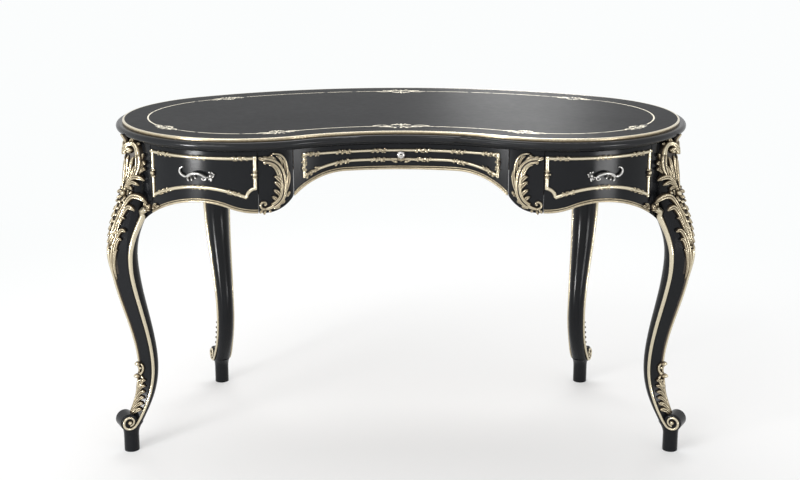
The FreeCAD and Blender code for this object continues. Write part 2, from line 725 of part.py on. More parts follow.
# Runners: L-shaped strips, a ledge under the drawer side and a guide beside it
def runner(label, side_turn, x, front, ledge, guide, z):
    """Strip of L section, padded along the desk's depth; side_turn 180 faces it to -X."""
    body = doc.addObject("PartDesign::Body", f"{label}_body")
    sketch = body.newObject("Sketcher::SketchObject", f"{label}_sketch")
    plane = [f for f in body.Origin.OriginFeatures if f.Role == "XZ_Plane"][0]
    sketch.AttachmentSupport = [(plane, "")]
    sketch.MapMode = "FlatFace"
    low, high = z
    thick = f"( {high} ) - ( {low} )"
    corners = (("0", "0"), (ledge, "0"), (ledge, thick), (guide, thick),
               (guide, f"{thick} + guide_height"), ("0", f"{thick} + guide_height"))
    points = [Vector(worked_out(across), worked_out(up), 0) for across, up in corners]
    for i, point in enumerate(points):
        sketch.addGeometry(Part.LineSegment(point, points[(i + 1) % len(points)]), False)
    for i, (across, up) in enumerate(corners):
        sketch.addConstraint(Sketcher.Constraint("Coincident", i, 2, (i + 1) % len(points), 1))
        for kind, text, value in (("DistanceX", across, points[i].x), ("DistanceY", up, points[i].y)):
            index = sketch.addConstraint(Sketcher.Constraint(kind, -1, 1, i, 1, value))
            if text != "0":
                sketch.setExpression(f"Constraints[{index}]", formula(text))
    pad = body.newObject("PartDesign::Pad", f"{label}_pad")
    pad.Profile = sketch
    pad.Reversed = True
    pad.setExpression("Length", formula(f"{RUNNER_BACK} + {front}"))
    body.Placement = Placement(Vector(0, 0, 0), Rotation(UP, side_turn))
    body.setExpression("Placement.Base.x", formula(x))
    body.setExpression("Placement.Base.y", formula(RUNNER_BACK if side_turn else f"0 - {front}"))
    body.setExpression("Placement.Base.z", formula(low))
    node(body, label)


SIDE_GUIDE = f"{INNER_SEAM} + box_margin - guide_gap - ( {PART_OUT} )"
CENTRE_GUIDE = f"{PART_IN} - {CENTRE_SEAM} + box_margin - guide_gap"
RUNNER_FRONT = f"( {STILE_BACK} - runner_setback )"
CENTRE_FRONT = f"( {STILE_BACK} - centre_setback )"
runner("runner_left_inner", 180, f"0 - ( {PART_OUT} )", RUNNER_FRONT, "runner_ledge", SIDE_GUIDE, SIDE_RAIL)
runner("runner_right_inner", 0, PART_OUT, RUNNER_FRONT, "runner_ledge", SIDE_GUIDE, SIDE_RAIL)
runner("runner_centre_left", 0, f"0 - ( {PART_IN} )", CENTRE_FRONT, "centre_ledge", CENTRE_GUIDE,
       CENTRE_RAIL)
runner("runner_centre_right", 180, PART_IN, CENTRE_FRONT, "centre_ledge", CENTRE_GUIDE, CENTRE_RAIL)

for side, word in SIDES:
    label = f"runner_{word}_outer"
    rim = "lobe_offset + lobe_radius"
    depth = ("0 - lobe_forward - outer_runner_reach", BOX_BACK)
    ledge = block(f"{label}_ledge", span(side, f"{BOX_EDGE} - outer_ledge", rim), depth, SIDE_RAIL)
    guide = block(f"{label}_guide", span(side, f"{BOX_EDGE} + guide_gap", rim), depth,
                  (BEARER_TOP, f"{BEARER_TOP} + guide_height"))
    both = doc.addObject("Part::Fuse", f"{label}_both")
    both.Base = ledge
    both.Tool = guide
    node(meeting(label, both, drum(f"{label}_rim", LOBE_X[side], LOBE_Y, LOBE_INNER)), label)


# Drawer boxes: two sides, a back that stands on the bottom panel, and the panel between the sides
def drawer_box(word, x, cutter, low):
    """x is the pair of outer faces; cutter trims the front ends to the curve of the drawer front."""
    left, right = x
    floor = f"{low} + box_lift"
    top = f"{CARCASS_TOP} - box_top_drop"
    depth = (f"0 - {FRONT_REACH}", BOX_BACK)
    inner = (f"{left} + box_wall", f"{right} - box_wall")
    panel = (f"{floor} + bottom_lift", f"{floor} + bottom_lift + bottom_thick")
    cutter(f"{word}_side_left", block(f"{word}_sl", (left, inner[0]), depth, (floor, top)))
    cutter(f"{word}_side_right", block(f"{word}_sr", (inner[1], right), depth, (floor, top)))
    cutter(f"{word}_bottom", block(f"{word}_bt", inner, depth, panel))
    node(block(f"{word}_bk", inner, (f"{BOX_BACK} - box_wall", BOX_BACK), (panel[1], top)), f"{word}_back")


def lobe_trim(side):
    def trim(label, piece):
        node(meeting(label, piece, drum(f"{label}_drum", LOBE_X[side], LOBE_Y, LOBE_INNER)), label)
    return trim


def hollow_trim(label, piece):
    node(less(label, piece, drum(f"{label}_drum", "0", HOLLOW_Y, HOLLOW_INNER)), label)


for side, word in SIDES:
    drawer_box(word, span(side, f"{INNER_SEAM} + box_margin", BOX_EDGE), lobe_trim(side), BEARER_TOP)
drawer_box("centre", (f"0 - {CENTRE_SEAM} + box_margin", f"{CENTRE_SEAM} - box_margin"), hollow_trim,
           CENTRE_BEARER_TOP)

# Stops behind the drawers: small blocks on the inner runners, one shared node
stop_size = (size("box_wall"), size("stop_length"), size("stop_height"))
stop_y = worked_out(BOX_BACK) + size("box_lift")
side_stop_x = -inner_x + size("box_margin")
centre_stop_x = centre_x - size("box_margin") - size("box_wall")
side_stop = Part.makeBox(*stop_size, Vector(side_stop_x, stop_y, worked_out(BEARER_TOP)))
centre_stop = Part.makeBox(*stop_size, Vector(centre_stop_x, stop_y, worked_out(CENTRE_BEARER_TOP)))
stops = [side_stop, mirrored(side_stop), centre_stop, mirrored(centre_stop)]
solid("drawer_stops", Part.makeCompound(stops))


# Pulls: a sagging bow between two bosses, cut to sit on the curved front
def side_pull():
    half = size("pull_span") / 2
    stand = -size("pull_stand")
    ends = (Vector(-half, stand, 0), Vector(half, stand, 0))
    sag = size("pull_sag")
    bend = (half ** 2 + sag ** 2) / (2 * sag)
    hub = Vector(0, stand, bend - sag)
    opening = math.degrees(math.asin(half / bend))
    along = (ends[1] - hub).cross(toward_front)
    disc = Part.Face(Part.Wire(Part.Circle(ends[1], along, size("pull_rod")).toShape()))
    rod = disc.revolve(hub, toward_front * -1, 2 * opening)
    pieces = []
    for end in ends:
        cap = end + Vector(0, size("pull_rod") + size("pull_cap"), 0)
        pieces.append(Part.makeCone(size("pull_rod"), size("pull_boss"), size("pull_rod") + size("pull_cap"),
                                    cap, toward_front))
        cap = size("pull_rod") + size("pull_cap")
        pieces.append(Part.makeCylinder(size("pull_boss"), cap, end, toward_front))
        root = Vector(end.x, size("pull_boss"), end.z)
        pieces.append(Part.makeCylinder(size("pull_rod"), size("pull_boss") - stand, root, toward_front))
        pieces.append(Part.makeCylinder(size("pull_boss"), size("pull_boss") + size("pull_rod"),
                                        root, toward_front))
    shape = rod.fuse(pieces)
    across = -size("pull_offset") - lobe_centre.x
    turn = math.degrees(math.asin(across / apron_lobe))
    front = Vector(across, -math.sqrt(apron_lobe ** 2 - across ** 2), carcass_top - size("pull_drop"))
    shape.Placement = Placement(lobe_centre + front, Rotation(UP, turn))
    return shape.cut(Part.makeCylinder(apron_lobe, size("desk_height"), lobe_centre))


pull = side_pull()
solid("left_pull", pull)
solid("right_pull", mirrored(pull))

# Rosette knob: a turned stem and dished head on the centre front
knob_face = Vector(0, hollow_y + apron_hollow, carcass_top - size("knob_drop"))
stem = Part.makeCylinder(size("knob_stem"), size("knob_stand") + size("knob_stem"),
                         knob_face + Vector(0, size("knob_stem"), 0), toward_front)
head = Part.makeCone(size("knob_stem"), size("knob_radius"), size("knob_stand") / 2,
                     knob_face + Vector(0, -size("knob_stand") / 2, 0), toward_front)
knob = stem.fuse(head)
solid("centre_knob", knob.cut(tube(hollow_centre, apron_hollow, apron_hollow + apron_thick, 0, carcass_top)))

doc.recompute()
failed = [item.Name for item in doc.Objects if "Invalid" in item.State or "Error" in item.State]
if failed:
    raise RuntimeError(f"objects not built: {failed}")
for item in nodes:
    if item.Shape.isNull() or not item.Shape.isValid() or not item.Shape.Solids:
        raise RuntimeError(f"bad shape: {item.Label}")
os.makedirs("parts", exist_ok=True)
for item in nodes:
    item.Shape.exportStep(f"parts/{item.Label}.step")
print(len(nodes), "sub-parts written")
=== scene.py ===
import math

import bmesh
import bpy
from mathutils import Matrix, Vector


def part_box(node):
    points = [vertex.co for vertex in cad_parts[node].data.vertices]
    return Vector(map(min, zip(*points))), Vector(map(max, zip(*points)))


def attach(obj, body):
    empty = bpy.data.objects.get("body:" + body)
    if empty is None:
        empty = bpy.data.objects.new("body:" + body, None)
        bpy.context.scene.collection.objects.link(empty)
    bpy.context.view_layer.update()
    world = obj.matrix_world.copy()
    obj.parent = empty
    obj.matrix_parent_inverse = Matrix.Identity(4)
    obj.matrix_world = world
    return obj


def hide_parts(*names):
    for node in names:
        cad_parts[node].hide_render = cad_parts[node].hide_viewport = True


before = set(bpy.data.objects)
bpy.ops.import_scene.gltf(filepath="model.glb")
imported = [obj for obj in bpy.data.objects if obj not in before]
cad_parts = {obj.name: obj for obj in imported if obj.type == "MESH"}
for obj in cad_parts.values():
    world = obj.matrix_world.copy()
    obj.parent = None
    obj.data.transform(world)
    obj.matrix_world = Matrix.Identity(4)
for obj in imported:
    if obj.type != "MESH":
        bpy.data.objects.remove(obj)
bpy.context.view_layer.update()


# Carcass and top: boards of close-grained wood, filled, painted black and rubbed to a polish.
# The legs are sawn and carved from the same wood and take the same lacquer.
class Wire:
    """A shader value that can be used in arithmetic."""

    def __init__(self, tree, socket):
        self.tree = tree
        self.socket = socket

    def node(self, kind, settings=None, inputs=None, output=0):
        """Any node: its settings first, then the values or links of its sockets."""
        made = self.tree.nodes.new(kind)
        for name, value in (settings or {}).items():
            if name == "stops":
                while len(made.color_ramp.elements) < len(value):
                    made.color_ramp.elements.new(0.5)
                for element, (place, colour) in zip(made.color_ramp.elements, value):
                    element.position = place
                    element.color = (*colour, 1)
            else:
                setattr(made, name, value)
        for name, value in (inputs or {}).items():
            if isinstance(value, Wire):
                self.tree.links.new(value.socket, made.inputs[name])
            else:
                made.inputs[name].default_value = value
        return Wire(self.tree, made.outputs[output])

    def math(self, operation, *values):
        return self.node("ShaderNodeMath", {"operation": operation}, dict(enumerate(values)))

    def __add__(self, other):
        return self.math("ADD", self, other)

    def __radd__(self, other):
        return self.math("ADD", other, self)

    def __sub__(self, other):
        return self.math("SUBTRACT", self, other)

    def __rsub__(self, other):
        return self.math("SUBTRACT", other, self)

    def __mul__(self, other):
        return self.math("MULTIPLY", self, other)

    def __rmul__(self, other):
        return self.math("MULTIPLY", other, self)

    def noise(self, scale, detail=4.0, stretch=(1, 1, 1)):
        """Noise on the object's own coordinates, from 0 to 1."""
        place = self.node("ShaderNodeTexCoord", output="Object")
        place = self.node("ShaderNodeMapping", inputs={"Vector": place, "Scale": stretch})
        return self.node("ShaderNodeTexNoise", inputs={"Vector": place, "Scale": scale, "Detail": detail})

    def ramp(self, *stops):
        return self.node("ShaderNodeValToRGB", {"stops": stops}, {"Fac": self})

    def mix(self, first, second):
        """Colour between first and second by this value; 6 and 7 are the Mix node's colour sockets."""
        return self.node("ShaderNodeMix", {"data_type": "RGBA"}, {0: self, 6: first, 7: second}, 2)

    def between(self, low, high):
        """0 up to low, 1 from high on."""
        return self.node("ShaderNodeMapRange", inputs={"Value": self, "From Min": low, "From Max": high})

    def bump(self, strength, distance):
        sockets = {"Height": self, "Strength": strength, "Distance": distance}
        return self.node("ShaderNodeBump", inputs=sockets)


def finish_of(name, **fixed):
    """A new material, its shader with what stays the same all over, and a wire to draw the rest with."""
    material = bpy.data.materials.new(name)
    material.use_nodes = True
    shader = material.node_tree.nodes["Principled BSDF"]
    for socket, value in fixed.items():
        shader.inputs[socket.replace("_", " ")].default_value = value
    return material, shader, Wire(material.node_tree, None)


def feed(shader, wires):
    for name, wire in wires.items():
        wire.tree.links.new(wire.socket, shader.inputs[name])


BLACK, RUBBED_BLACK = (0.0080, 0.0088, 0.0102, 1), (0.0125, 0.0132, 0.0146, 1)
COAT, COAT_ROUGHNESS = 0.5, 0.16


def black_lacquer(name, gloss, shine, coat_below=0.0):
    """Lacquer over all; below the height coat_below it also has a gloss coat."""
    material, shader, draw = finish_of(name, Specular_IOR_Level=shine, Coat_Roughness=COAT_ROUGHNESS)
    place = draw.node("ShaderNodeTexCoord", output="Object")
    height = draw.node("ShaderNodeSeparateXYZ", inputs={0: place}, output="Z")
    cloud = draw.noise(7.0)
    rubbed = draw.noise(70.0, 3.0, (1, 1, 0.3))
    feed(shader, {
        "Base Color": cloud.mix(BLACK, RUBBED_BLACK),
        "Roughness": gloss + 0.06 * cloud + 0.06 * rubbed,
        "Coat Weight": COAT * height.math("LESS_THAN", height, coat_below),
        "Normal": draw.noise(60.0, 2.0).bump(0.02, 0.0005),
    })
    return material


def paint(names, material):
    for name in names:
        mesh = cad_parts[name].data
        mesh.materials.clear()
        mesh.materials.append(material)


LACQUERED_WORDS = ("leg_", "end_rail", "corner_stile", "stile_")
LACQUERED = [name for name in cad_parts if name.startswith(LACQUERED_WORDS)]
LACQUERED += ["bed_moulding", "back_rail", "left_front", "centre_front", "right_front"]
BULLNOSE_TOP = 0.7835
paint(LACQUERED, black_lacquer("black_lacquer", gloss=0.12, shine=0.14))
paint(["top_panel"], black_lacquer("rubbed_top_lacquer", gloss=0.32, shine=0.020, coat_below=BULLNOSE_TOP))


# Inside of the desk: partitions, rails, runners and drawer linings of plain oak, planed and oiled.
# They are glued and screwed; only the open drawers and the underside show them.
OAK_TONES = ((0.30, (0.16, 0.09, 0.045)), (0.70, (0.36, 0.235, 0.13)))


def oiled_oak():
    material, shader, draw = finish_of("oiled_oak")
    grain = draw.noise(60.0, 6.0, (6.0, 0.35, 6.0))
    pores = draw.noise(300.0, 3.0, (8.0, 0.2, 8.0))
    feed(shader, {
        "Base Color": grain.ramp(*OAK_TONES),
        "Roughness": 0.5 + 0.2 * pores,
        "Normal": pores.bump(0.15, 0.001),
    })
    return material


oak = oiled_oak()
OAK_WORDS = ("partition", "bearer", "upper_rail", "runner", "drawer_stops", "_side_", "_bottom")
paint([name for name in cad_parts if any(word in name for word in OAK_WORDS)], oak)
paint(["left_back", "centre_back", "right_back"], oak)


# Gilded mouldings: carved wood under a champagne-gold leaf, with dark glaze left in the hollows, and painted
# shade added there where the recesses are occluded.
# The fillet round the top, the panel mouldings and the beads are planted on with glue and pins.
GILT_TONES = ((0.05, (0.026, 0.018, 0.011)), (0.35, (0.13, 0.092, 0.050)),
              (0.65, (0.39, 0.320, 0.205)), (0.92, (0.67, 0.600, 0.445)))
CARVED_HOLLOW, PLAIN_HOLLOW = 0.007, 0.012


def champagne_gilding(name, carved, painted_shade=0.0):
    """Leaf rubbed bright on the open parts and painted darker in occluded recesses as shade; a carving also
    says itself which of its points are crests.
    """
    material, shader, draw = finish_of(name)
    cloud = draw.noise(55.0, 5.0)
    rub = draw.noise(260.0, 4.0)
    reach = CARVED_HOLLOW if carved else PLAIN_HOLLOW
    # Ambient occlusion darkens the leaf in recesses: painted shade on top of the glaze.
    occlusion_shade = draw.node("ShaderNodeAmbientOcclusion", {"samples": 8}, {"Distance": reach}, "AO")
    polish_and_shade = occlusion_shade.between(0.35, 0.92)
    if carved:
        # Crests of carved strips are painted lighter and their sides darker: rubbed leaf, partly painted
        # highlight and shade.
        crest = draw.node("ShaderNodeAttribute", {"attribute_name": "bright"}, output="Fac")
        polish_and_shade = crest.between(0.42, 0.98) * (0.35 + 0.80 * polish_and_shade)
    # The last term lowers the whole leaf when asked: painted shade for the edge beads.
    polish_and_shade = polish_and_shade - 0.35 * cloud + (0.15 - painted_shade)
    feed(shader, {
        "Base Color": polish_and_shade.ramp(*GILT_TONES),
        "Metallic": 0.25 + 0.65 * polish_and_shade,
        "Roughness": 0.40 - 0.24 * polish_and_shade + 0.08 * rub,
        "Normal": rub.bump(0.10, 0.0005),
    })
    return material


gilding = champagne_gilding("champagne_gilding", carved=False)
carved_gilding = champagne_gilding("carved_gilding", carved=True)
GILDED_WORDS = ("_frame", "_bead", "gilt", "carving")
paint([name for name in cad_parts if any(word in name for word in GILDED_WORDS)], gilding)


# Leg ornament: acanthus, husks, beads and volutes, carved in lime wood with gouges and gilded.
# It is glued to the outer faces of the cabriole legs, alike on both sides of each leg's ridge.
# A bead follows each edge of a leg down to the volute on the foot's roll.
LOBE_X, LOBE_Y, APRON_LOBE = 0.365, -0.052, 0.284
CARCASS_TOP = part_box("leg_front_left")[1][2]
POST_LENGTH = 0.141
KNEE_Z, ANKLE_Z, TOE_Z, SHOULDER_Z = 0.490, 0.205, 0.040, CARCASS_TOP - POST_LENGTH
# A leg at marked heights: how far its ridge stands out, half its width, the ridge's depth, its own depth
LEG_OUT = ((CARCASS_TOP, 0.006), (KNEE_Z, 0.070), (ANKLE_Z, 0.015))
LEG_HALF = ((CARCASS_TOP, 0.033), (SHOULDER_Z, 0.034), (ANKLE_Z, 0.0195))
LEG_RIDGE = ((CARCASS_TOP, 0.006), (KNEE_Z, 0.025), (ANKLE_Z, 0.018))
LEG_DEPTH = ((SHOULDER_Z, 0.072), (KNEE_Z, 0.061), (ANKLE_Z, 0.045), (TOE_Z, 0.040))
TOE_KICK = 0.060
BACK_SETIN = 0.022
RIDGE_BLEND = 0.006
BEND_BACK = 0.9
SCROLL_OUT, SCROLL_Z, SCROLL_HALF = 0.054, 0.077, 0.022
ACROSS = 8
BACKING = 0.0012


def along(z, marks):
    """Value at height z on a smooth curve through (height, value) marks that run downward."""
    if z >= marks[0][0]:
        return marks[0][1]
    for (high, above), (low, below) in zip(marks, marks[1:]):
        if z >= low:
            share = (high - z) / (high - low)
            return above + (below - above) * share * share * (3 - 2 * share)
    return marks[-1][1]


def leg_sides(z, setin):
    """Reach of the ridge, ridge depth and half width of a leg at height z."""
    fall = max(0, (ANKLE_Z - z) / (ANKLE_Z - TOE_Z))
    shift = along(z, ((CARCASS_TOP, 0), (KNEE_Z, setin)))
    outer = APRON_LOBE + along(z, LEG_OUT) + TOE_KICK * fall * fall - shift
    return outer, along(z, LEG_RIDGE), along(z, LEG_HALF)


def leg_point(side, azimuth, reach, across, z):
    """Point of a leg: reach out from the round end's centre, across the leg, at height z."""
    turn = math.radians(azimuth)
    x = -LOBE_X + reach * math.cos(turn) - across * math.sin(turn)
    y = LOBE_Y + reach * math.sin(turn) + across * math.cos(turn)
    return Vector((side * x, y, z))


def leg_face(side, azimuth, setin):
    """Map of a leg's outer faces: q across from the ridge, z up, h proud; past the edge it bends back."""
    def place(q, z, h):
        outer, ridge, half = leg_sides(z, setin)
        width = math.hypot(ridge, half)
        sign = math.copysign(1, q)
        share = min(abs(q), width) / width
        beyond = max(0, abs(q) - width)
        blend = min(1, abs(q) / RIDGE_BLEND)
        normal = Vector((1 + (half / width - 1) * blend, sign * ridge / width * blend)).normalized()
        across = half * share + beyond
        reach = max(outer - ridge * share - BEND_BACK * beyond, math.sqrt(APRON_LOBE ** 2 - across ** 2))
        return leg_point(side, azimuth, reach + normal.x * h, sign * across + normal.y * h, z)
    return place


def roll_face(side, azimuth, setin, end):
    """Map of an end face of the foot's roll: p outward, z up, h proud."""
    def place(p, z, h):
        reach = APRON_LOBE + SCROLL_OUT - setin + p
        return leg_point(side, azimuth, reach, end * (SCROLL_HALF + h), SCROLL_Z + z)
    return place


def bend(start, out, back, end, count=14):
    """Points on a cubic curve with two pulling points."""
    points = []
    for i in range(count + 1):
        u = i / count
        weights = ((1 - u) ** 3, 3 * u * (1 - u) ** 2, 3 * u * u * (1 - u), u ** 3)
        points.append(tuple(sum(w * p[k] for w, p in zip(weights, (start, out, back, end))) for k in (0, 1)))
    return points


def spiral(centre, start, radius, inner, turns, count):
    """Points on a spiral that closes in from radius to inner, from a start angle in degrees."""
    points = []
    for i in range(count + 1):
        u = i / count
        angle = math.radians(start + 360 * turns * u)
        reach = radius + (inner - radius) * u
        points.append((centre[0] + reach * math.cos(angle), centre[1] + reach * math.sin(angle)))
    return points


def fitted(name, mesh, body):
    """A finished piece on a body, with its faces turned outwards."""
    work = bmesh.new()
    work.from_mesh(mesh)
    bmesh.ops.recalc_face_normals(work, faces=work.faces)
    work.to_mesh(mesh)
    work.free()
    mesh.shade_smooth()
    piece = bpy.data.objects.new(name, mesh)
    bpy.context.scene.collection.objects.link(piece)
    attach(piece, body)
    return piece


class Carving:
    """Carved ornament under way: points, faces, and how light each point is painted: rubbed leaf and painted
    highlight on crests, painted shade down the sides.
    """

    def __init__(self):
        self.points = []
        self.faces = []
        self.bright = []
        self.shade = 1.0

    def rod(self, place, spine, half, height, groove=0.0, lift=None):
        """Rounded strip along a spine drawn on a surface; half and height are functions of its length."""
        base = len(self.points)
        ring = ACROSS + 3
        last = len(spine) - 1
        for i, (a, b) in enumerate(spine):
            u = i / last
            before, after = spine[max(0, i - 1)], spine[min(last, i + 1)]
            run = Vector((after[0] - before[0], after[1] - before[1])).normalized()
            up = lift(u) if lift else 0
            for j in range(ACROSS + 1):
                v = 2 * j / ACROSS - 1
                crest = math.sqrt(max(0, 1 - v * v)) * (1 - groove * math.exp(-(v / 0.25) ** 2))
                offset = half(u) * v
                self.points.append(place(a - run.y * offset, b + run.x * offset, up + height(u) * crest))
                # Crown of the strip lighter than its sides: painted highlight and shade, with rubbed leaf.
                self.bright.append(crest * self.shade)
            for v in (1, -1):
                offset = half(u) * v
                self.points.append(place(a - run.y * offset, b + run.x * offset, up - BACKING))
                self.bright.append(0.0)
        for i in range(last):
            for j in range(ring):
                k = (j + 1) % ring
                row, following = base + i * ring, base + (i + 1) * ring
                self.faces.append((row + j, row + k, following + k, following + j))
        self.faces.append(tuple(range(base, base + ring)))
        self.faces.append(tuple(range(base + last * ring, base + last * ring + ring)))

    def tongue(self, place, spine, half, height, curl=0.0, vein=0.45):
        """Lobe of a leaf: narrow at its root, full near its rounded tip, with a gouged vein."""
        def width(u):
            swell = 0.28 + 0.72 * math.sin(math.pi * min(1, u * 0.62)) ** 1.5
            return half * swell * math.sqrt(max(0.02, 1 - u ** 6))

        def rise(u):
            return height * (0.15 + 0.85 * math.sqrt(u)) * math.sqrt(max(0.05, 1 - u ** 8))
        self.rod(place, spine, width, rise, vein, lambda u: curl * u ** 3)

    def stem(self, place, spine, half, height, thin=0.5, groove=0.25, lift=None):
        """Scroll or rib: full at its start and thinner at its end."""
        self.rod(place, spine, lambda u: half * (1 - (1 - thin) * u), lambda u: height * (1 - (1 - thin) * u),
                 groove, lift)

    def bud(self, place, a, b, radius, height, rings=4, sides=10):
        """Berry or bead: a dome on the surface."""
        base = len(self.points)
        self.points.append(place(a, b, height))
        self.bright.append(1.0)
        for i in range(1, rings + 1):
            reach = i / rings
            rise = height * math.sqrt(max(0, 1 - reach * reach)) if i < rings else -BACKING
            for j in range(sides):
                angle = 2 * math.pi * j / sides
                self.points.append(place(a + radius * reach * math.cos(angle),
                                         b + radius * reach * math.sin(angle), rise))
                # Top of the dome lighter than its foot: painted highlight and shade, with rubbed leaf.
                self.bright.append(1 - 0.6 * reach * reach if i < rings else 0.0)
        for j in range(sides):
            k = (j + 1) % sides
            self.faces.append((base, base + 1 + j, base + 1 + k))
            for i in range(rings - 1):
                row, following = base + 1 + i * sides, base + 1 + (i + 1) * sides
                self.faces.append((row + j, following + j, following + k, row + k))
        self.faces.append(tuple(base + 1 + (rings - 1) * sides + j for j in range(sides)))

    def piece(self, name, material, body, slot="gilt_carving"):
        """The carving as a closed mesh that rides on a body."""
        mesh = bpy.data.meshes.new(name)
        mesh.from_pydata(self.points, [], self.faces)
        mesh.attributes.new("bright", "FLOAT", "POINT").data.foreach_set("value", self.bright)
        mesh.materials.append(material)
        return fitted(name, mesh, body)


def mm(*pairs):
    return [(a / 1000, b / 1000) for a, b in pairs]


KNEE_TOP, KNEE_FOOT = 0.757, 0.440
KNEE_GROUND = ((0.748, 0.015), (0.690, 0.009), (0.645, 0.005), (0.560, 0.008), (0.500, 0.006), (0.430, 0.0))
GROUND_HALF = ((0.665, 0.0325), (0.590, 0.0150))
GROUND_FADE, GROUND_SKIN = 0.53, 0.0004


def knee_ground(q, z):
    """How far the block of the knee carving stands out under its leaves."""
    return along(z, KNEE_GROUND) * math.exp(-(q / (GROUND_FADE * along(z, GROUND_HALF))) ** 2)


def raised(face):
    """The same map on top of the block."""
    return lambda q, z, h: face(q, z, h + knee_ground(q, z))


def knee_block(carving, face):
    """Block of the knee carving, a swelling along the ridge; its ground stays dark."""
    rows, steps = 40, 14
    width = steps + 1
    base = len(carving.points)
    under = base + (rows + 1) * width
    for low in (False, True):
        for i in range(rows + 1):
            z = KNEE_TOP - (KNEE_TOP - KNEE_FOOT) * i / rows
            for j in range(width):
                q = along(z, GROUND_HALF) * (2 * j / steps - 1)
                rim = j in (0, steps) or i in (0, rows)
                height = -BACKING if rim else knee_ground(q, z) + GROUND_SKIN
                carving.points.append(face(q, z, -2 * BACKING if low else height))
                carving.bright.append(0.0)
    for i in range(rows):
        for j in range(steps):
            for start, turn in ((base, 1), (under, -1)):
                row, following = start + i * width + j, start + (i + 1) * width + j
                carving.faces.append((row, row + 1, following + 1, following)[::turn])
    rim = [(0, j) for j in range(steps)] + [(i, steps) for i in range(rows)]
    rim += [(rows, j) for j in range(steps, 0, -1)] + [(i, 0) for i in range(rows, 0, -1)]
    spots = [i * width + j for i, j in rim]
    for spot, following in zip(spots, spots[1:] + spots[:1]):
        carving.faces.append((base + following, base + spot, under + spot, under + following))


def gouges(carving, face, end=1, rib_steps=20):
    """Cuts for one side of a face, in millimetres across and up: lobe of a leaf, rib and berry."""
    def line(points, *count):
        return bend(*[(end * a, b) for a, b in mm(*points)], *count)

    def lobe(half, height, curl, *points):
        carving.tongue(face, line(points), half / 1000, height / 1000, curl / 1000)

    def rib(half, height, thin, *points):
        carving.stem(face, line(points, rib_steps), half / 1000, height / 1000, thin)

    def berry(radius, height, a, b):
        carving.bud(face, end * a / 1000, b / 1000, radius / 1000, height / 1000)
    return lobe, rib, berry


PETAL_LENGTH, PETAL_BEND = 15, 8


def knee_carving(carving, face, end):
    """Ornament from the moulding down over the knee, on the side of the ridge that end names."""
    lobe, rib, berry = gouges(carving, face, end)
    # Spray under the moulding
    lobe(5.5, 8, 10, (4, 738), (8, 750), (16, 762), (26, 767))
    lobe(4.5, 7, 6, (14, 742), (22, 748), (30, 755), (41, 755))
    # C-scroll beside the cartouche, its band in two flutes
    carving.stem(face, [(end * a, b) for a, b in spiral((0.0110, 0.7340), 20, 0.0035, 0.0105, 0.55, 12)],
                 0.0040, 0.011, 1.3)
    rib(6.0, 11, 1.25, (2, 738), (5, 759), (31, 760), (35, 728))
    carving.shade = 0.55
    rib(7.6, 10, 0.60, (35, 728), (39, 702), (36, 682), (21, 667))
    carving.shade = 1.0
    rib(2.8, 13, 0.60, (38.5, 728), (42, 702), (39, 684), (25, 670))
    rib(2.8, 13, 0.60, (31.5, 728), (35, 702), (32, 682), (18, 668))
    berry(5.2, 12.5, 11, 734)
    lobe(4.4, 9, 4, (38, 716), (44, 720), (48, 728), (53, 734))
    lobe(6.6, 10, 5, (37, 690), (42, 706), (50, 718), (60, 711))
    lobe(5.4, 9, 4, (36, 682), (42, 693), (49, 702), (57, 696))
    # Leaf inside the cartouche
    lobe(4.8, 10, 2, (6, 652), (13, 676), (14, 700), (18, 722))
    lobe(4.0, 9, 2, (8, 656), (17, 670), (21, 686), (24, 702))
    lobe(3.2, 8, 2, (3, 660), (5, 690), (4, 706), (7, 724))
    berry(3.0, 10, 17, 705)
    # Leaf below the cartouche
    lobe(6.8, 11, 5, (3, 636), (9, 664), (26, 690), (54, 671))
    lobe(5.6, 9.5, 4, (5, 636), (13, 658), (25, 673), (44, 659))
    lobe(4.6, 8.5, 3, (6, 636), (12, 650), (20, 657), (30, 647))
    # Flower and berries
    berry(7.0, 13, 9, 638)
    berry(4.8, 11, 30, 641)
    berry(3.6, 9, 20, 644)
    berry(4.8, 11, 13, 622)
    heart = (9, 636)
    for petal in range(5):
        angle = math.radians(petal * 72 - 60)
        middle, tip = [(heart[0] + reach * math.cos(angle), heart[1] + reach * math.sin(angle))
                       for reach in (PETAL_BEND, PETAL_LENGTH)]
        lobe(4.4, 9, 4, heart, middle, middle, tip)
    # Upper long leaf
    lobe(8.2, 12, 6, (3, 512), (4, 588), (22, 668), (68, 621))
    lobe(7.4, 10.5, 5, (6, 508), (9, 572), (22, 630), (47, 601))
    lobe(4.2, 8.5, 3, (8, 516), (12, 560), (17, 590), (27, 580))
    # Lower long leaf
    lobe(7.0, 10, 6, (3, 430), (4, 500), (13, 572), (38, 551))
    lobe(6.0, 9, 4, (5, 432), (8, 490), (14, 546), (28, 530))
    lobe(4.0, 7, 3, (6, 440), (8, 478), (12, 512), (19, 505))
    # Garland of berries and husks beside the ridge
    for husk in range(8):
        top = 618 - 15 * husk
        berry(4.6 - 0.2 * husk, 9.5 - 0.5 * husk, 5, top)
        lobe(3.8 - 0.2 * husk, 7 - 0.4 * husk, 2, (3, top - 2), (8, top - 5), (9, top - 9), (7, top - 14))


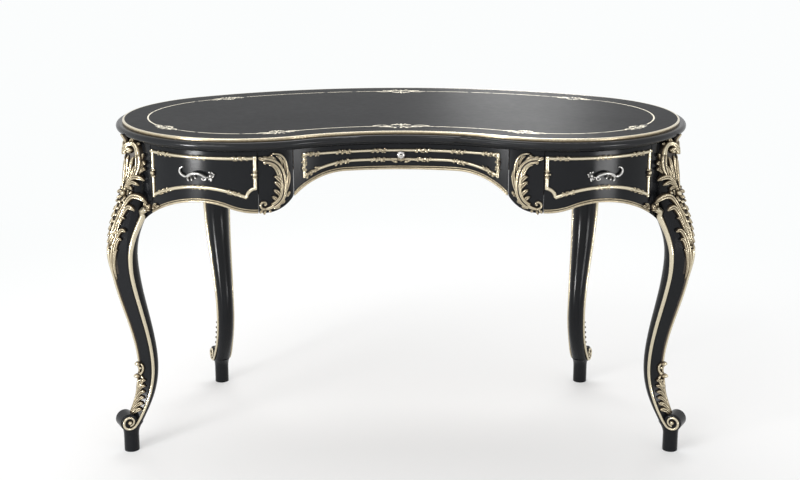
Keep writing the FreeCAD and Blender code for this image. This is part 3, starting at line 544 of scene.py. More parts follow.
def ridge_carving(carving, face):
    """Ornament that sits on the ridge itself, from the moulding to the shin."""
    lobe, _, berry = gouges(carving, face)
    lobe(6.0, 8, 12, (0, 742), (0, 752), (0, 762), (0, 774))
    lobe(5.0, 10, 3, (0, 640), (0, 665), (0, 690), (0, 716))
    for husk in range(8):
        top = 612 - 15 * husk
        lobe(4.0 - 0.2 * husk, 10 - 0.5 * husk, 2, (0, top), (0, top - 5), (0, top - 10), (0, top - 16))
    fillet = [(0.0, 0.508 - 0.008 * i) for i in range(38)]
    carving.stem(face, fillet, 0.0042, 0.0055, 0.8, 0.0)
    # Shin leaf
    lobe(5.0, 8, 3, (0, 100), (0, 130), (0, 160), (0, 178))
    lobe(4.4, 7, 2, (0, 178), (0, 190), (0, 202), (0, 216))
    berry(6.6, 16, 0, 184)
    berry(6.6, 13, 0, 214)


def shin_carving(carving, face, end):
    """Side lobes of the shin leaf, longest low down, and two curls with berries above."""
    lobe, rib, berry = gouges(carving, face, end, 14)
    for step in range(6):
        root = 74 + 14 * step
        spread = 25.6 - 1.6 * step
        lobe(7.0 - 0.4 * step, 9.5, 3,
             (1, root), (3, root + 18), (spread * 0.5, root + 36), (spread, root + 29))
    for low in (156, 186):
        rib(3.6, 8, 0.7, (1, low), (12, low + 8), (14, low + 26), (3, low + 28))
        berry(3.8, 8.5, 5.2, low + 18)


def moulding_tree():
    """Round moulding along every path of a curve, with a radius that tapers towards its end."""
    tree = bpy.data.node_groups.new("round_moulding", "GeometryNodeTree")
    tree.interface.new_socket("Path", in_out="INPUT", socket_type="NodeSocketGeometry")
    tree.interface.new_socket("Radius", in_out="INPUT", socket_type="NodeSocketFloat")
    tree.interface.new_socket("Sides", in_out="INPUT", socket_type="NodeSocketInt")
    tree.interface.new_socket("Taper", in_out="INPUT", socket_type="NodeSocketFloat")
    tree.interface.new_socket("Finish", in_out="INPUT", socket_type="NodeSocketMaterial")
    tree.interface.new_socket("Moulding", in_out="OUTPUT", socket_type="NodeSocketGeometry")
    given = tree.nodes.new("NodeGroupInput").outputs
    draw = Wire(tree, given["Path"])
    way = draw.node("GeometryNodeSplineParameter")
    section = draw.node("GeometryNodeCurvePrimitiveCircle", inputs={
        "Resolution": Wire(tree, given["Sides"]), "Radius": Wire(tree, given["Radius"])})
    swept = draw.node("GeometryNodeCurveToMesh", inputs={
        "Curve": draw, "Profile Curve": section, "Fill Caps": True,
        "Scale": 1 + (Wire(tree, given["Taper"]) - 1) * way})
    plain = draw.node("GeometryNodeRealizeInstances", inputs={"Geometry": swept})
    gilt = draw.node("GeometryNodeSetMaterial", inputs={
        "Geometry": plain, "Material": Wire(tree, given["Finish"])})
    tree.links.new(gilt.socket, tree.nodes.new("NodeGroupOutput").inputs[0])
    return tree


MOULDING = moulding_tree()


def moulded(name, paths, radius, taper, material, sides=10):
    """Plain mesh of a moulding along paths."""
    curve = bpy.data.curves.new(name, "CURVE")
    curve.dimensions = "3D"
    for path in paths:
        spline = curve.splines.new("POLY")
        spline.points.add(len(path) - 1)
        for point, place in zip(spline.points, path):
            point.co = (*place, 1)
    maker = bpy.data.objects.new(name, curve)
    bpy.context.scene.collection.objects.link(maker)
    shape = maker.modifiers.new("shape", "NODES")
    shape.node_group = MOULDING
    sockets = {item.name: item.identifier for item in MOULDING.interface.items_tree}
    for word, value in (("Radius", radius), ("Sides", sides), ("Taper", taper), ("Finish", material)):
        shape[sockets[word]] = value
    graph = bpy.context.evaluated_depsgraph_get()
    mesh = bpy.data.meshes.new_from_object(maker.evaluated_get(graph), depsgraph=graph)
    bpy.data.objects.remove(maker)
    mesh.name = name
    return mesh


BEAD_RADIUS, BEAD_TAPER = 0.0056, 0.48
BEAD_TOP, BEAD_FOOT, BEAD_STEPS = 0.606, 0.150, 64
EAR_LINE, EAR_STEPS = mm((572, 607), (578, 606), (583, 603), (588, 597)), 8
EAR_PROUD, EAR_RISE = 0.003, 0.007
EARED_TOP = 0.586
EARED_TURN = ((0.595, 20), (0.430, 2))
EARED_PROUD = ((EARED_TOP, 0.004), (0.540, 0))
VOLUTE_EYE, VOLUTE_START, VOLUTE_PROUD = (0, 0.001), 215, 0.0006
VOLUTE_OUTER, VOLUTE_INNER, VOLUTE_TURNS = 0.0178, 0.0078, 1.15
EYE_RADIUS, EYE_HEIGHT = 0.0062, 0.006
BRIDGE_OUT, BRIDGE_IN = 12, 24
SHEATH_RADIUS, SHEATH_TAPER, SHEATH_RUN = 0.0080, 0.62, slice(3, 30)


def lobe_front(side):
    """Map of the round end's front: x across from the desk's middle line, z up, h proud."""
    def place(x, z, h):
        across = x - LOBE_X
        depth = math.sqrt(max(0, APRON_LOBE ** 2 - across ** 2))
        scale = (APRON_LOBE + h) / APRON_LOBE
        return Vector((-side * (LOBE_X + across * scale), LOBE_Y - depth * scale, z))
    return place


def leg_flank(side, azimuth, setin, end, z, turn, proud):
    """Point proud of a leg's round inner face; turn is in degrees from straight across towards the back."""
    outer, ridge, half = leg_sides(z, setin)
    depth = along(z, LEG_DEPTH)
    rise = depth - ridge
    radius = (half * half + rise * rise) / (2 * rise)
    swing = math.radians(turn)
    reach = outer - depth + radius - (radius + proud) * math.sin(swing)
    return leg_point(side, azimuth, reach, end * (radius + proud) * math.cos(swing), z)


def bridge(first, heading, last, arrival, count=10):
    """Points of a smooth curve between two places with given directions."""
    points = []
    for i in range(1, count):
        u = i / count
        points.append(first * (2 * u ** 3 - 3 * u * u + 1) + heading * (u ** 3 - 2 * u * u + u)
                      + last * (3 * u * u - 2 * u ** 3) + arrival * (u ** 3 - u * u))
    return points


def leg_bead_path(side, azimuth, setin, end, ear):
    """From the apron down the edge of a leg and into the volute on the foot's roll."""
    path = []
    top = BEAD_TOP
    if ear:
        front = lobe_front(side)
        for i, (a, b) in enumerate(bend(*EAR_LINE, EAR_STEPS)):
            path.append(front(a, b, EAR_PROUD + EAR_RISE * i / EAR_STEPS))
        top = EARED_TOP
    for i in range(BEAD_STEPS + 1):
        z = top + (BEAD_FOOT - top) * i / BEAD_STEPS
        turn = along(z, EARED_TURN) if ear else 0
        proud = along(z, EARED_PROUD) if ear else 0
        path.append(leg_flank(side, azimuth, setin, end, z, turn, proud))
    roll = roll_face(side, azimuth, setin, end)
    line = spiral(VOLUTE_EYE, VOLUTE_START, VOLUTE_OUTER, VOLUTE_INNER, VOLUTE_TURNS, 48)
    volute = [roll(a, b, VOLUTE_PROUD) for a, b in line]
    leaving, arriving = path[-1] - path[-2], volute[1] - volute[0]
    path += bridge(path[-1], leaving * BRIDGE_OUT, volute[0], arriving * BRIDGE_IN)
    return path + volute


def stile_clasp(carving, face):
    """Leaves and berries on the corner stile where the drawer's bead meets the leg's."""
    lobe, _, berry = gouges(carving, face)
    lobe(5.6, 13, 2, (585, 599), (579, 601), (572, 606), (570.5, 618))
    lobe(5.2, 13, 2, (588, 597), (583, 605), (579, 612), (581, 622))
    lobe(4.8, 15, 2, (591, 593), (592, 599), (594, 605), (600, 607))
    berry(4.4, 16, 576, 604)
    berry(3.8, 17, 584, 599)
    berry(2.8, 12, 570.5, 605)


FRONT_AZIMUTH, BACK_AZIMUTH = 210, 114
LEGS = (("front_left", 1, FRONT_AZIMUTH, 0), ("front_right", -1, FRONT_AZIMUTH, 0),
        ("back_left", 1, BACK_AZIMUTH, BACK_SETIN), ("back_right", -1, BACK_AZIMUTH, BACK_SETIN))
for word, side, azimuth, setin in LEGS:
    carving = Carving()
    face = leg_face(side, azimuth, setin)
    is_front = word.startswith("front")
    knee_block(carving, face)
    ridge_carving(carving, raised(face))
    paths = []
    for end in (-1, 1):
        knee_carving(carving, raised(face), end)
        shin_carving(carving, face, end)
        carving.bud(roll_face(side, azimuth, setin, end), *VOLUTE_EYE, EYE_RADIUS, EYE_HEIGHT)
        paths.append(leg_bead_path(side, azimuth, setin, end, is_front and end > 0))
    if is_front:
        stile_clasp(carving, lobe_front(side))
        sheath = moulded(f"bead_sheath_{word}", [paths[-1][SHEATH_RUN]], SHEATH_RADIUS, SHEATH_TAPER, gilding)
        fitted(f"bead_sheath_{word}", sheath, "desk")
    carving.piece(f"leg_carving_{word}", carved_gilding, "desk")
    bead = moulded(f"leg_bead_{word}", paths, BEAD_RADIUS, BEAD_TAPER, gilding)
    fitted(f"leg_bead_{word}", bead, "desk")


# Scroll carvings on the uprights between the drawers: one acanthus C-scroll each, with a volute below.
# Carved from one piece of lime wood, gilded, and glued to the lacquered face.
def beside(spine, shift):
    """The same line, moved sideways."""
    moved = []
    for before, (a, b), after in zip(spine[:1] + spine, spine, spine[1:] + spine[-1:]):
        run = Vector((after[0] - before[0], after[1] - before[1])).normalized()
        moved.append((a - run.y * shift, b + run.x * shift))
    return moved


def stile_scroll(carving, face):
    """Drawn from the desk's middle line outwards, in millimetres across and up."""
    lobe, rib, berry = gouges(carving, face, rib_steps=22)
    # Band of the C in flutes, from the foot up over the top to the tip
    band = bend(*mm((286, 633), (263, 643), (259, 668), (263, 694)), 18)
    band += bend(*mm((263, 694), (266, 722), (278, 738), (304, 738)), 18)[1:]
    carving.shade = 0.3
    carving.stem(face, band, 0.0080, 0.0055, 0.75, 0.0)
    carving.shade = 1.0
    carving.stem(face, beside(band, -0.0042), 0.0044, 0.0085, 0.75, 0.3)
    carving.stem(face, beside(band, 0.0038), 0.0040, 0.0090, 0.75, 0.3)
    lobe(5.4, 8.5, 2, (296, 738), (303, 739), (308, 741), (314, 746))
    # Rim over the top and the lobes under it
    rib(2.4, 8.5, 1.0, (253.5, 704), (253, 738), (264, 754), (284, 752.5))
    berry(3.2, 8.5, 287, 749.5)
    lobe(4.0, 8, 2, (262, 700), (256, 716), (257, 728), (262, 739))
    lobe(4.0, 8, 2, (266, 716), (262, 731), (266, 743), (276, 747.5))
    lobe(3.6, 7.5, 2, (276, 732), (277, 741), (285, 746), (295, 745.5))
    lobe(3.0, 7, 2, (288, 739), (293, 744), (299, 746), (306, 745.5))
    # Inner edge of the upper leaf
    rib(2.2, 7.5, 1.0, (290, 727.5), (281, 725), (275, 713), (272.5, 696))
    berry(3.0, 8, 290, 727.5)
    berry(2.6, 7.5, 301, 730.5)
    # Tip of the lower leaf, which overlaps the upper one
    lobe(5.4, 10.5, 2, (263, 648), (255, 668), (250, 690), (252, 713))
    # Lobes on the inside of the lower leaf
    lobe(5.6, 11, 3, (260, 664), (264, 682), (270, 696), (281, 702))
    lobe(5.6, 11, 3, (262, 655), (266, 672), (271, 683), (282, 689))
    lobe(5.4, 11, 3, (265, 645), (269, 657), (274, 665), (283, 671))
    lobe(5.0, 10.5, 3, (271, 637), (275, 645), (279, 651), (287, 656))
    berry(3.0, 9.5, 280, 700)
    # Lobes on its outside
    lobe(3.8, 8.5, 3, (266, 650), (259, 652), (253, 657), (249.5, 665))
    berry(2.6, 8, 254, 655)
    lobe(3.8, 8.5, 3, (277, 638), (270, 636), (264, 640), (260.5, 646))
    lobe(3.6, 8.5, 3, (289, 630), (282, 627), (275, 629), (270.5, 634))
    # Volute at the foot, open, with a berry at its end
    rib(5.2, 8.5, 0.65, (284, 634), (290, 630), (296, 627.8), (303, 627.8))
    carving.stem(face, spiral((0.3045, 0.6375), -100, 0.0097, 0.0040, 0.80, 26), 0.0032, 0.0085, 0.8)
    berry(3.8, 10, 302.5, 638)
    # Tail under the volute
    lobe(3.8, 7.5, 2, (303, 628), (308, 626), (311, 623), (314, 618))
    lobe(3.6, 7.5, 2, (300, 628), (303, 622), (304, 618), (305.5, 615))
    lobe(3.2, 7.5, 2, (295, 629), (293, 624), (292, 621), (289, 619.5))


SIDES = (("left", 1), ("right", -1))
for word, side in SIDES:
    carving = Carving()
    stile_scroll(carving, lobe_front(side))
    scroll = carving.piece(f"stile_scroll_{word}", carved_gilding, "desk")
    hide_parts(f"stile_carving_{word}")


# Panel mouldings on the drawer fronts: half-round strips of lime wood, mitred, with leaf sprays and clasps.
# They are gilded before they are glued and pinned to the lacquered fronts.
FRAME_RADIUS, FRAME_SINK = {"left": 0.0042, "centre": 0.0035, "right": 0.0042}, 0.0003
HOLLOW_Y, APRON_HOLLOW = -0.7385, 0.4935


def hollow_front(x, z, h):
    """Map of the hollow middle of the front: x across, z up, h proud."""
    turn = math.asin(x / APRON_HOLLOW)
    reach = APRON_HOLLOW - h
    return Vector((reach * math.sin(turn), HOLLOW_Y + reach * math.cos(turn), z))


def straight(start, finish, count=20):
    return [tuple(p + (q - p) * i / count for p, q in zip(start, finish)) for i in range(count + 1)]


def bow(start, crest, count=20):
    """Arc that ends level at its crest."""
    run, rise = crest[0] - start[0], crest[1] - start[1]
    radius = (run * run + rise * rise) / (2 * rise)
    points = []
    for i in range(count + 1):
        back = run * (1 - i / count)
        fall = math.copysign(math.sqrt(radius ** 2 - back ** 2), radius)
        points.append((crest[0] - back, crest[1] - radius + fall))
    return points


SPRAY_LEAF = mm((0, -1.5), (5, -0.5), (9, 2.5), (11, 5.2))


def leaf_spray(carving, face, middle, run, length=0.034):
    """Spray of small leaves that winds along a moulding, with two berries."""
    def at(a, b):
        return middle[0] + run[0] * a - run[1] * b, middle[1] + run[1] * a + run[0] * b

    for step in range(6):
        a = length * (step / 6 - 0.55)
        lean = 1 if step % 2 else -1
        spine = bend(*[at(a + forward, aside * lean) for forward, aside in SPRAY_LEAF], 8)
        carving.tongue(face, spine, 0.0030, 0.0068, 0.0008, 0.3)
    for a, b in ((-0.27, 0.0036), (0.18, -0.0036)):
        carving.bud(face, *at(length * a, b), 0.0026, 0.0070)


REEL_UP, REEL_HALF, REEL_THICK = 0.0075, 0.0058, 0.0019


def clasp_bead(carving, face, x, z):
    """Bead between two reels across an upright moulding."""
    for up in (-REEL_UP, REEL_UP):
        reel = straight((x - REEL_HALF, z + up), (x + REEL_HALF, z + up), 6)
        carving.rod(face, reel, lambda u: REEL_THICK, lambda u: 0.0030 + 0.0036 * math.sin(math.pi * u))
    carving.bud(face, x, z, 0.0064, 0.0080)


def drawer_clasp(carving, face):
    """The drawer's own leaves and berry where its bead meets the leg's."""
    lobe, _, berry = gouges(carving, face)
    lobe(4.4, 9, 2, (564, 605), (560, 611), (554, 617), (545, 620))
    lobe(4.4, 9, 2, (563.5, 608), (562, 614), (559, 620), (553, 624))
    berry(3, 10, 558.5, 612.5)


FRAME_TOP, FRAME_OUTER, FRAME_INNER = 743.5, 560.3, 322.6
MITRE = 4
OUTER_FOOT, INNER_FOOT = 638, 673
OUTER_CLASP_Z, INNER_CLASP_Z = 0.694, 0.707
SIDE_CREST, SIDE_TIP, SIDE_CORNER = (448, 676), (341.8, 654.5), (FRAME_OUTER, 642.5)
NOTCH_X, NOTCH_Z, NOTCH_RADIUS = 319.1, 652, 23.5
NOTCH_TURNS = [math.radians(a) for a in range(2, 90, 8)]
NOTCH = [(NOTCH_X + NOTCH_RADIUS * math.sin(a), NOTCH_Z + NOTCH_RADIUS * math.cos(a)) for a in NOTCH_TURNS]
SIDE_LINES = [
    straight((FRAME_OUTER, FRAME_TOP + MITRE), (FRAME_OUTER, OUTER_FOOT), 4),
    straight((FRAME_OUTER + MITRE, FRAME_TOP), (FRAME_INNER - MITRE, FRAME_TOP), 40),
    straight((FRAME_INNER, FRAME_TOP + MITRE), (FRAME_INNER, INNER_FOOT), 4),
    NOTCH,
    bow(SIDE_TIP, SIDE_CREST),
    bow(SIDE_CORNER, SIDE_CREST),
]
SIDE_SPRAYS = (((532, FRAME_TOP), (-1, 0)), ((452, FRAME_TOP), (-1, 0)), ((358, FRAME_TOP), (-1, 0)),
               ((534, 656.6), (-0.90, 0.43)), ((452, 676), (-1, 0)), ((372, 665.6), (-0.96, -0.27)))
CENTRE_EDGE, CENTRE_FLAT = 216.7, 100
CENTRE_LOW, CENTRE_FOOT, CENTRE_SPRING = 722.5, 691, 694.5
CENTRE_LINES = [straight((-CENTRE_EDGE - MITRE, FRAME_TOP), (CENTRE_EDGE + MITRE, FRAME_TOP), 50),
                straight((-CENTRE_FLAT, CENTRE_LOW), (CENTRE_FLAT, CENTRE_LOW), 24)]
for end in (-1, 1):
    CENTRE_LINES.append(straight((end * CENTRE_EDGE, FRAME_TOP + MITRE), (end * CENTRE_EDGE, CENTRE_FOOT), 4))
    CENTRE_LINES.append(bow((end * (CENTRE_EDGE + 2), CENTRE_SPRING), (end * CENTRE_FLAT, CENTRE_LOW)))
UPRIGHT_SPRAY_Z, UPRIGHT_SPRAY_LENGTH = 0.720, 0.036
CENTRE_SPRAYS = (((126, FRAME_TOP), (1, 0)), ((46, FRAME_TOP), (1, 0)), ((196, FRAME_TOP), (1, 0)),
                 ((48, CENTRE_LOW), (1, 0)), ((130, 720.4), (0.98, -0.2)), ((198, 704), (0.82, -0.57)))


def panel_moulding(word, face, lines):
    paths = [[face(a / 1000, b / 1000, FRAME_SINK) for a, b in line] for line in lines]
    frame_mesh = moulded(f"{word}_panel_moulding", paths, FRAME_RADIUS[word], 1.0, gilding)
    moulding = fitted(f"{word}_panel_moulding", frame_mesh, f"{word}_drawer")
    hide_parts(f"{word}_frame")


for word, side in SIDES:
    face = lobe_front(side)
    panel_moulding(word, face, SIDE_LINES)
    carving = Carving()
    for (a, b), run in SIDE_SPRAYS:
        leaf_spray(carving, face, (a / 1000, b / 1000), run)
    clasp_bead(carving, face, FRAME_OUTER / 1000, OUTER_CLASP_Z)
    clasp_bead(carving, face, FRAME_INNER / 1000, INNER_CLASP_Z)
    carving.bud(face, FRAME_INNER / 1000 + 0.0065, INNER_CLASP_Z, 0.0030, 0.0050)
    drawer_clasp(carving, face)
    carving.piece(f"{word}_panel_leaves", carved_gilding, f"{word}_drawer")


SHELL_Z, SHELL_ROOT = 719, (0, 717)


def centre_shell(carving):
    """Small shell between two scrolls under the knob."""
    for step in range(5):
        lean = math.radians((step - 2) * 30)
        tip = (11 * math.sin(lean), SHELL_Z + 12 * math.cos(lean))
        middle = (tip[0] * 0.5, (SHELL_Z + tip[1]) * 0.5)
        carving.tongue(hollow_front, bend(*mm(SHELL_ROOT, middle, middle, tip), 8), 0.0028, 0.0075, 0.001)
    for end in (-1, 1):
        scroll = mm((end * 9, 718), (end * 16, 714), (end * 24, 728), (end * 34, CENTRE_LOW))
        carving.stem(hollow_front, bend(*scroll, 16), 0.0030, 0.0075, 0.6)
        carving.bud(hollow_front, end * 0.012, 0.7185, 0.0036, 0.0078)


panel_moulding("centre", hollow_front, CENTRE_LINES)
carving = Carving()
centre_shell(carving)
for end in (-1, 1):
    for (a, b), (across, up) in CENTRE_SPRAYS:
        leaf_spray(carving, hollow_front, (end * a / 1000, b / 1000), (end * across, up))
    upright = (end * CENTRE_EDGE / 1000, UPRIGHT_SPRAY_Z)
    leaf_spray(carving, hollow_front, upright, (0, 1), UPRIGHT_SPRAY_LENGTH)
carving.piece("centre_panel_leaves", carved_gilding, "centre_drawer")


# Edge beads: a bold bead and a fine one above it, planed along the scalloped lower edge of each front.
# They are steamed to the curve, glued on and gilded; their leaf is painted darker than the panel mouldings',
# as shade.
EDGE_BEADS = (("edge_bead", 2.5, 0.0027), ("edge_line", 7.4, 0.0014))
# The edge beads' gilding is darkened all over: painted shade.
shaded_gilding = champagne_gilding("shaded_gilding", carved=False, painted_shade=0.22)
EDGE_SINK = 0.0008
OUTER_SEAM, INNER_SEAM, CENTRE_SEAM = (565.4, 599.6), (317.5, 618), (238.8, 652.3)
ARCH_CREST, ARCH_TURNING = (443, 641.5), (380.05, 629.75)
LEVEL_Z, LEVEL_START, LEVEL_HALF = 699, 125, 115
SIDE_EDGE = bow(OUTER_SEAM, ARCH_CREST, 30)
SIDE_EDGE += bow(ARCH_TURNING, ARCH_CREST)[-2::-1] + bow(ARCH_TURNING, INNER_SEAM)[1:]
CENTRE_ARCH = bow(CENTRE_SEAM, (LEVEL_START, LEVEL_Z))
CENTRE_EDGE_LINE = CENTRE_ARCH + straight((LEVEL_HALF, LEVEL_Z), (-LEVEL_HALF, LEVEL_Z), 24)
CENTRE_EDGE_LINE += [(-a, b) for a, b in CENTRE_ARCH[::-1]]
EDGES = (("left", lobe_front(1), SIDE_EDGE), ("centre", hollow_front, CENTRE_EDGE_LINE),
         ("right", lobe_front(-1), SIDE_EDGE))
for word, face, edge in EDGES:
    for kind, up, radius in EDGE_BEADS:
        path = [face(a / 1000, (b + up) / 1000, EDGE_SINK) for a, b in edge]
        bead = fitted(f"{word}_{kind}", moulded(f"{word}_{kind}", [path], radius, 1.0, shaded_gilding),
                      f"{word}_drawer")
        if kind == "edge_bead":
            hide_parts(f"{word}_bead")


# Pulls and knob: cast in brass, chased and silvered. Each pull is one leafy bow on two posts,
# screwed through the drawer front; the knob is a rosette on a domed base.
TARNISH_AND_SHADE, SILVER = (0.05, 0.045, 0.04, 1), (0.70, 0.69, 0.67, 1)
CAST_HOLLOW = 0.004


def silvered_brass():
    material, shader, draw = finish_of("silvered_brass")
    cloud = draw.noise(130.0, 4.0)
    # Tarnish lies in the hollows; ambient occlusion adds painted shade there, and crests of the cast strips
    # are painted lighter as highlight.
    occlusion_shade = draw.node("ShaderNodeAmbientOcclusion", {"samples": 8}, {"Distance": CAST_HOLLOW}, "AO")
    crest = draw.node("ShaderNodeAttribute", {"attribute_name": "bright"}, output="Fac")
    polish_and_shade = occlusion_shade * (0.25 + 0.75 * crest)
    feed(shader, {
        "Base Color": polish_and_shade.mix(TARNISH_AND_SHADE, SILVER),
        "Metallic": 0.55 + 0.4 * polish_and_shade,
        "Roughness": 0.14 + 0.2 * cloud,
        "Normal": cloud.bump(0.05, 0.0004),
    })
    return material


silver = silvered_brass()
PULL_LEAVES = (((475, 702), (475, 697), (473, 693), (469, 689)),
               ((468, 703), (467, 698), (465, 695), (461, 692)),
               ((460, 706), (459, 702), (457, 699), (452, 697)))
PULL_FLOWER = (420, 704)
PULL_PETALS = ((423, 714), (416, 713), (410, 708), (412, 702), (419, 690.5), (424, 694))
PULL_POSTS = mm((473.5, 700.5), (425.5, 701.5))


def drawer_pull(carving, face):
    """Leafy bow that stands off the front between a curl and a flower; millimetres across and up."""
    def stand(low, high):
        return lambda u: low + (high - low) * math.sin(math.pi * u)

    hook = bend(*mm((483, 719.5), (496, 719), (493, 700), (475, 699.5)), 18)
    carving.rod(face, hook, lambda u: 0.0017 + 0.0012 * u, lambda u: 0.0042, 0.15, lambda u: 0.006 * u)
    bow_line = bend(*mm((472, 698.5), (461, 713), (441, 713), (428.5, 699)), 22)
    carving.rod(face, bow_line, lambda u: 0.0038 - 0.0016 * u, lambda u: 0.0050, 0.25, stand(0.006, 0.010))
    carving.stem(face, spiral((0.4330, 0.6985), 10, 0.0052, 0.0020, -1.1, 22), 0.0018, 0.0044, 0.7, 0.1,
                 lambda u: 0.006)
    for points in PULL_LEAVES:
        carving.tongue(face, bend(*mm(*points), 8), 0.0032, 0.0050, 0.006, 0.2)
    for tip in PULL_PETALS:
        middle = [(end + heart) * 0.5 for end, heart in zip(tip, PULL_FLOWER)]
        carving.tongue(face, bend(*mm(PULL_FLOWER, middle, middle, tip), 8), 0.0030, 0.0056, 0.004, 0.2)
    carving.bud(face, *mm(PULL_FLOWER)[0], 0.0044, 0.0095)
    for post in PULL_POSTS:
        carving.bud(face, *post, 0.0032, 0.0120)


KNOB_Z = 733


def knob_rosette(carving):
    """Eight petals round a button, on a domed base."""
    carving.bud(hollow_front, 0, KNOB_Z / 1000, 0.0105, 0.0075, 5, 20)
    for step in range(8):
        turn = math.radians(45 * step)
        root, middle, tip = [(r * math.cos(turn), KNOB_Z + r * math.sin(turn)) for r in (2, 5, 10)]
        carving.tongue(hollow_front, bend(*mm(root, middle, middle, tip), 8), 0.0038, 0.0085, 0.001)
    carving.bud(hollow_front, 0, KNOB_Z / 1000, 0.0044, 0.0118)


for word, side in SIDES:
    carving = Carving()
    drawer_pull(carving, lobe_front(side))
    pull = carving.piece(f"{word}_drawer_pull", silver, f"{word}_drawer", "silvered_brass")
    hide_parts(f"{word}_pull")
carving = Carving()
knob_rosette(carving)
knob = carving.piece("centre_drawer_knob", silver, "centre_drawer", "silvered_brass")
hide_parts("centre_knob")


# Border on the top: a fine gilt line with small scrolled cartouches, laid in gold leaf on the lacquer.
# It is almost flush, and worn through in places by years of writing.
TOP_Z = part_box("top_gilt_edge")[1][2]
BORDER_INSET = 0.075
BORDER_PROUD = 0.00018
LINE_RADIUS = 0.0095
SWEEP_Y = -0.6405
TOP_LOBE, TOP_HOLLOW, TOP_SWEEP = 0.313, 0.4645, 1.0055
BORDER_LOBE, BORDER_HOLLOW = TOP_LOBE - BORDER_INSET, TOP_HOLLOW + BORDER_INSET
BORDER_SWEEP = TOP_SWEEP - BORDER_INSET
WORN_THROUGH, BORDER_LEAF = (0.012, 0.011, 0.010, 1), (0.95, 0.88, 0.70, 1)
CARTOUCHE_SCROLLS = ((((58, 0), (48, 12), (34, 14), (24, 4)), 2.2),
                     (((24, 4), (18, -8), (32, -14), (36, -4)), 2.0),
                     (((30, 0), (22, -14), (8, -16), (4, -4)), 2.2),
                     (((20, 8), (18, 20), (6, 22), (3, 12)), 2.0))
CARTOUCHE_LEAVES = ((9, 24), (16, 18), (44, -8), (14, -20))
LARGE_SIZE, BACK_SIZE, INNER_SIZE, OUTER_SIZE = 1.12, 0.80, 0.85, 0.75
BACK_TURN, INNER_TURN, OUTER_TURN = 28.5, 158, 133.5


def worn_leaf():
    material, shader, draw = finish_of("worn_border_leaf")
    wear = draw.noise(38.0, 5.0)
    kept = wear.between(0.36, 0.43)
    feed(shader, {
        "Base Color": kept.mix(WORN_THROUGH, BORDER_LEAF),
        "Metallic": 0.8 * kept,
        "Roughness": 0.42 - 0.12 * kept,
        "Normal": wear.bump(0.05, 0.0003),
    })
    return material


def border_line():
    """Closed outline of the border: the kidney's four arcs, moved in."""
    def arc(centre, radius, start, finish, count):
        turns = [math.radians(start + (finish - start) * i / count) for i in range(count)]
        return [(centre[0] + radius * math.cos(t), centre[1] + radius * math.sin(t)) for t in turns]

    dip = math.degrees(math.atan2(LOBE_Y - HOLLOW_Y, LOBE_X))
    rise = math.degrees(math.atan2(LOBE_Y - SWEEP_Y, LOBE_X))
    line = arc((0, HOLLOW_Y), BORDER_HOLLOW, 180 - dip, dip, 40)
    line += arc((LOBE_X, LOBE_Y), BORDER_LOBE, dip - 180, rise, 60)
    line += arc((0, SWEEP_Y), BORDER_SWEEP, rise, 180 - rise, 60)
    line += arc((-LOBE_X, LOBE_Y), BORDER_LOBE, 180 - rise, 360 - dip, 60)
    return line + line[:1]


def cartouche(carving, centre, radius, angle, inward, size):
    """Scrolls and a palmette on the border, drawn in millimetres for a size of 1."""
    turn = math.radians(angle)
    out = Vector((math.cos(turn), math.sin(turn), 0))
    middle = Vector((*centre, TOP_Z)) + out * radius
    across = Vector((-out.y, out.x, 0)) * size / 1000
    into = out * inward * size / 1000

    def place(a, b, h):
        return middle + across * a + into * b + Vector((0, 0, min(h, BORDER_PROUD)))
    for end in (-1, 1):
        for points, half in CARTOUCHE_SCROLLS:
            carving.stem(place, bend(*[(end * a, b) for a, b in points]), half, BORDER_PROUD, 0.7, 0.0)
        for a, b in CARTOUCHE_LEAVES:
            root, tip = (end * a * 0.6, b * 0.6), (end * a, b)
            carving.tongue(place, bend(root, root, tip, tip, 6), 2.6, BORDER_PROUD)
    for b in (-18, 10, 26):
        carving.tongue(place, bend((0, b * 0.3), (0, b * 0.5), (0, b * 0.8), (0, b), 6), 3.2, BORDER_PROUD)


leaf = worn_leaf()
sunk = TOP_Z + BORDER_PROUD - LINE_RADIUS
line_mesh = moulded("border_line", [[(x, y, sunk) for x, y in border_line()]], LINE_RADIUS, 1.0, leaf, 40)
fitted("border_line", line_mesh, "desk")
carving = Carving()
cartouche(carving, (0, HOLLOW_Y), BORDER_HOLLOW, 90, 1, LARGE_SIZE)
cartouche(carving, (0, SWEEP_Y), BORDER_SWEEP, 90, -1, LARGE_SIZE)
for end in (-1, 1):
    cartouche(carving, (0, SWEEP_Y), BORDER_SWEEP, 90 + end * BACK_TURN, -1, BACK_SIZE)
    cartouche(carving, (end * LOBE_X, LOBE_Y), BORDER_LOBE, 90 + end * INNER_TURN, -1, INNER_SIZE)
    cartouche(carving, (end * LOBE_X, LOBE_Y), BORDER_LOBE, 90 - end * OUTER_TURN, -1, OUTER_SIZE)
carving.piece("border_cartouches", leaf, "desk")


# Studio: a pale floor, broad soft light and a camera at the height of a standing viewer.
# The floor and the lights are no part of the desk.
FLOOR_HALF = 14.0
FLOOR_GREY, BACKDROP_WHITE = (0.92, 0.915, 0.91, 1), (0.968, 0.982, 0.982, 1)
FADE_START, FADE_END, NEAR_WHITE = 0.6, 2.4, 0.3


def background_rays(draw):
    """1 where the camera, or a mirror or glass in its view, looks at the background."""
    kinds = ("Is Camera Ray", "Is Glossy Ray", "Is Transmission Ray")
    return sum(draw.node("ShaderNodeLightPath", output=kind) for kind in kinds)


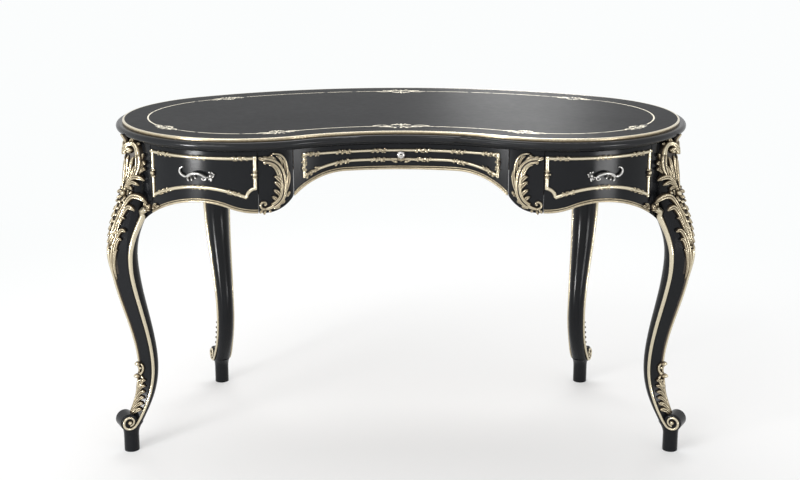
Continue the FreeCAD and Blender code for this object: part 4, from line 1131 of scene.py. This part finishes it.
def studio_floor():
    material, shader, draw = finish_of("studio_floor", Base_Color=FLOOR_GREY, Roughness=0.9,
                                       Specular_IOR_Level=0.0)
    place = draw.node("ShaderNodeTexCoord", output="Object")
    away = draw.node("ShaderNodeVectorMath", {"operation": "LENGTH"}, {0: place}, "Value")
    fade = {"Value": away, "From Min": FADE_START, "From Max": FADE_END, "To Min": NEAR_WHITE}
    far = draw.node("ShaderNodeMapRange", {"interpolation_type": "SMOOTHSTEP"}, fade)
    white = draw.node("ShaderNodeEmission", inputs={"Color": BACKDROP_WHITE})
    lit = Wire(material.node_tree, shader.outputs[0])
    surface = draw.node("ShaderNodeMixShader", inputs={0: far * background_rays(draw), 1: lit, 2: white})
    feed(material.node_tree.nodes["Material Output"], {"Surface": surface})
    corners = [(x * FLOOR_HALF, y * FLOOR_HALF, 0) for x, y in ((-1, -1), (1, -1), (1, 1), (-1, 1))]
    mesh = bpy.data.meshes.new("studio_floor")
    mesh.from_pydata(corners, [], [(0, 1, 2, 3)])
    mesh.materials.append(material)
    floor = bpy.data.objects.new("studio_floor", mesh)
    bpy.context.scene.collection.objects.link(floor)


studio_floor()


def softbox(name, place, aim, width, height, power):
    lamp = bpy.data.lights.new(name, "AREA")
    lamp.shape = "ELLIPSE"
    lamp.size = width
    lamp.size_y = height
    lamp.energy = power
    holder = bpy.data.objects.new(name, lamp)
    holder.location = place
    holder.rotation_euler = (Vector(aim) - Vector(place)).to_track_quat("-Z", "Y").to_euler()
    holder.visible_camera = False
    bpy.context.scene.collection.objects.link(holder)


softbox("key_softbox", place=(-1.6, -2.4, 3.2), aim=(0, 0, 0.5), width=2.4, height=2.0, power=44)
softbox("over_softbox", place=(0, 1.8, 3.2), aim=(0, 0, 0.8), width=3.2, height=1.0, power=44)
softbox("back_softbox", place=(0.55, 3.0, 1.50), aim=(0.2, 0, 0.8), width=0.7, height=0.5, power=5.0)
softbox("low_left_softbox", place=(-2.3, -2.1, 0.37), aim=(-0.45, -0.3, 0.7),
        width=0.62, height=0.28, power=46)
softbox("low_right_softbox", place=(2.3, -2.1, 0.17), aim=(0.45, -0.3, 0.7),
        width=1.1, height=0.24, power=13)

ROOM_TONES = ((0.0, (0.066, 0.070, 0.080)), (0.24, (0.120, 0.126, 0.142)), (0.50, (0.80, 0.80, 0.80)))
world = bpy.data.worlds.new("studio_world")
bpy.context.scene.world = world
world.use_nodes = True
sky = Wire(world.node_tree, None)
backdrop = world.node_tree.nodes["Background"]
direction = sky.node("ShaderNodeTexCoord", output="Generated")
height = sky.node("ShaderNodeSeparateXYZ", inputs={0: direction}, output="Z")
glow = height.ramp(*ROOM_TONES)
seen = background_rays(sky).mix(glow, (1, 1, 1, 1))
world.node_tree.links.new(seen.socket, backdrop.inputs["Color"])
backdrop.inputs["Strength"].default_value = 1.0

CAMERA_PLACE = (-0.0023, -3.205, 1.367)
CAMERA_PITCH = 13.354
camera = bpy.data.cameras.new("viewer")
camera.sensor_width = 36.0
camera.lens = 60.05
camera.shift_y = -0.07
viewer = bpy.data.objects.new("viewer", camera)
viewer.location = CAMERA_PLACE
viewer.rotation_euler = (math.radians(90 - CAMERA_PITCH), 0, 0)
bpy.context.scene.collection.objects.link(viewer)
bpy.context.scene.camera = viewer
bpy.context.scene.view_settings.view_transform = "Standard"
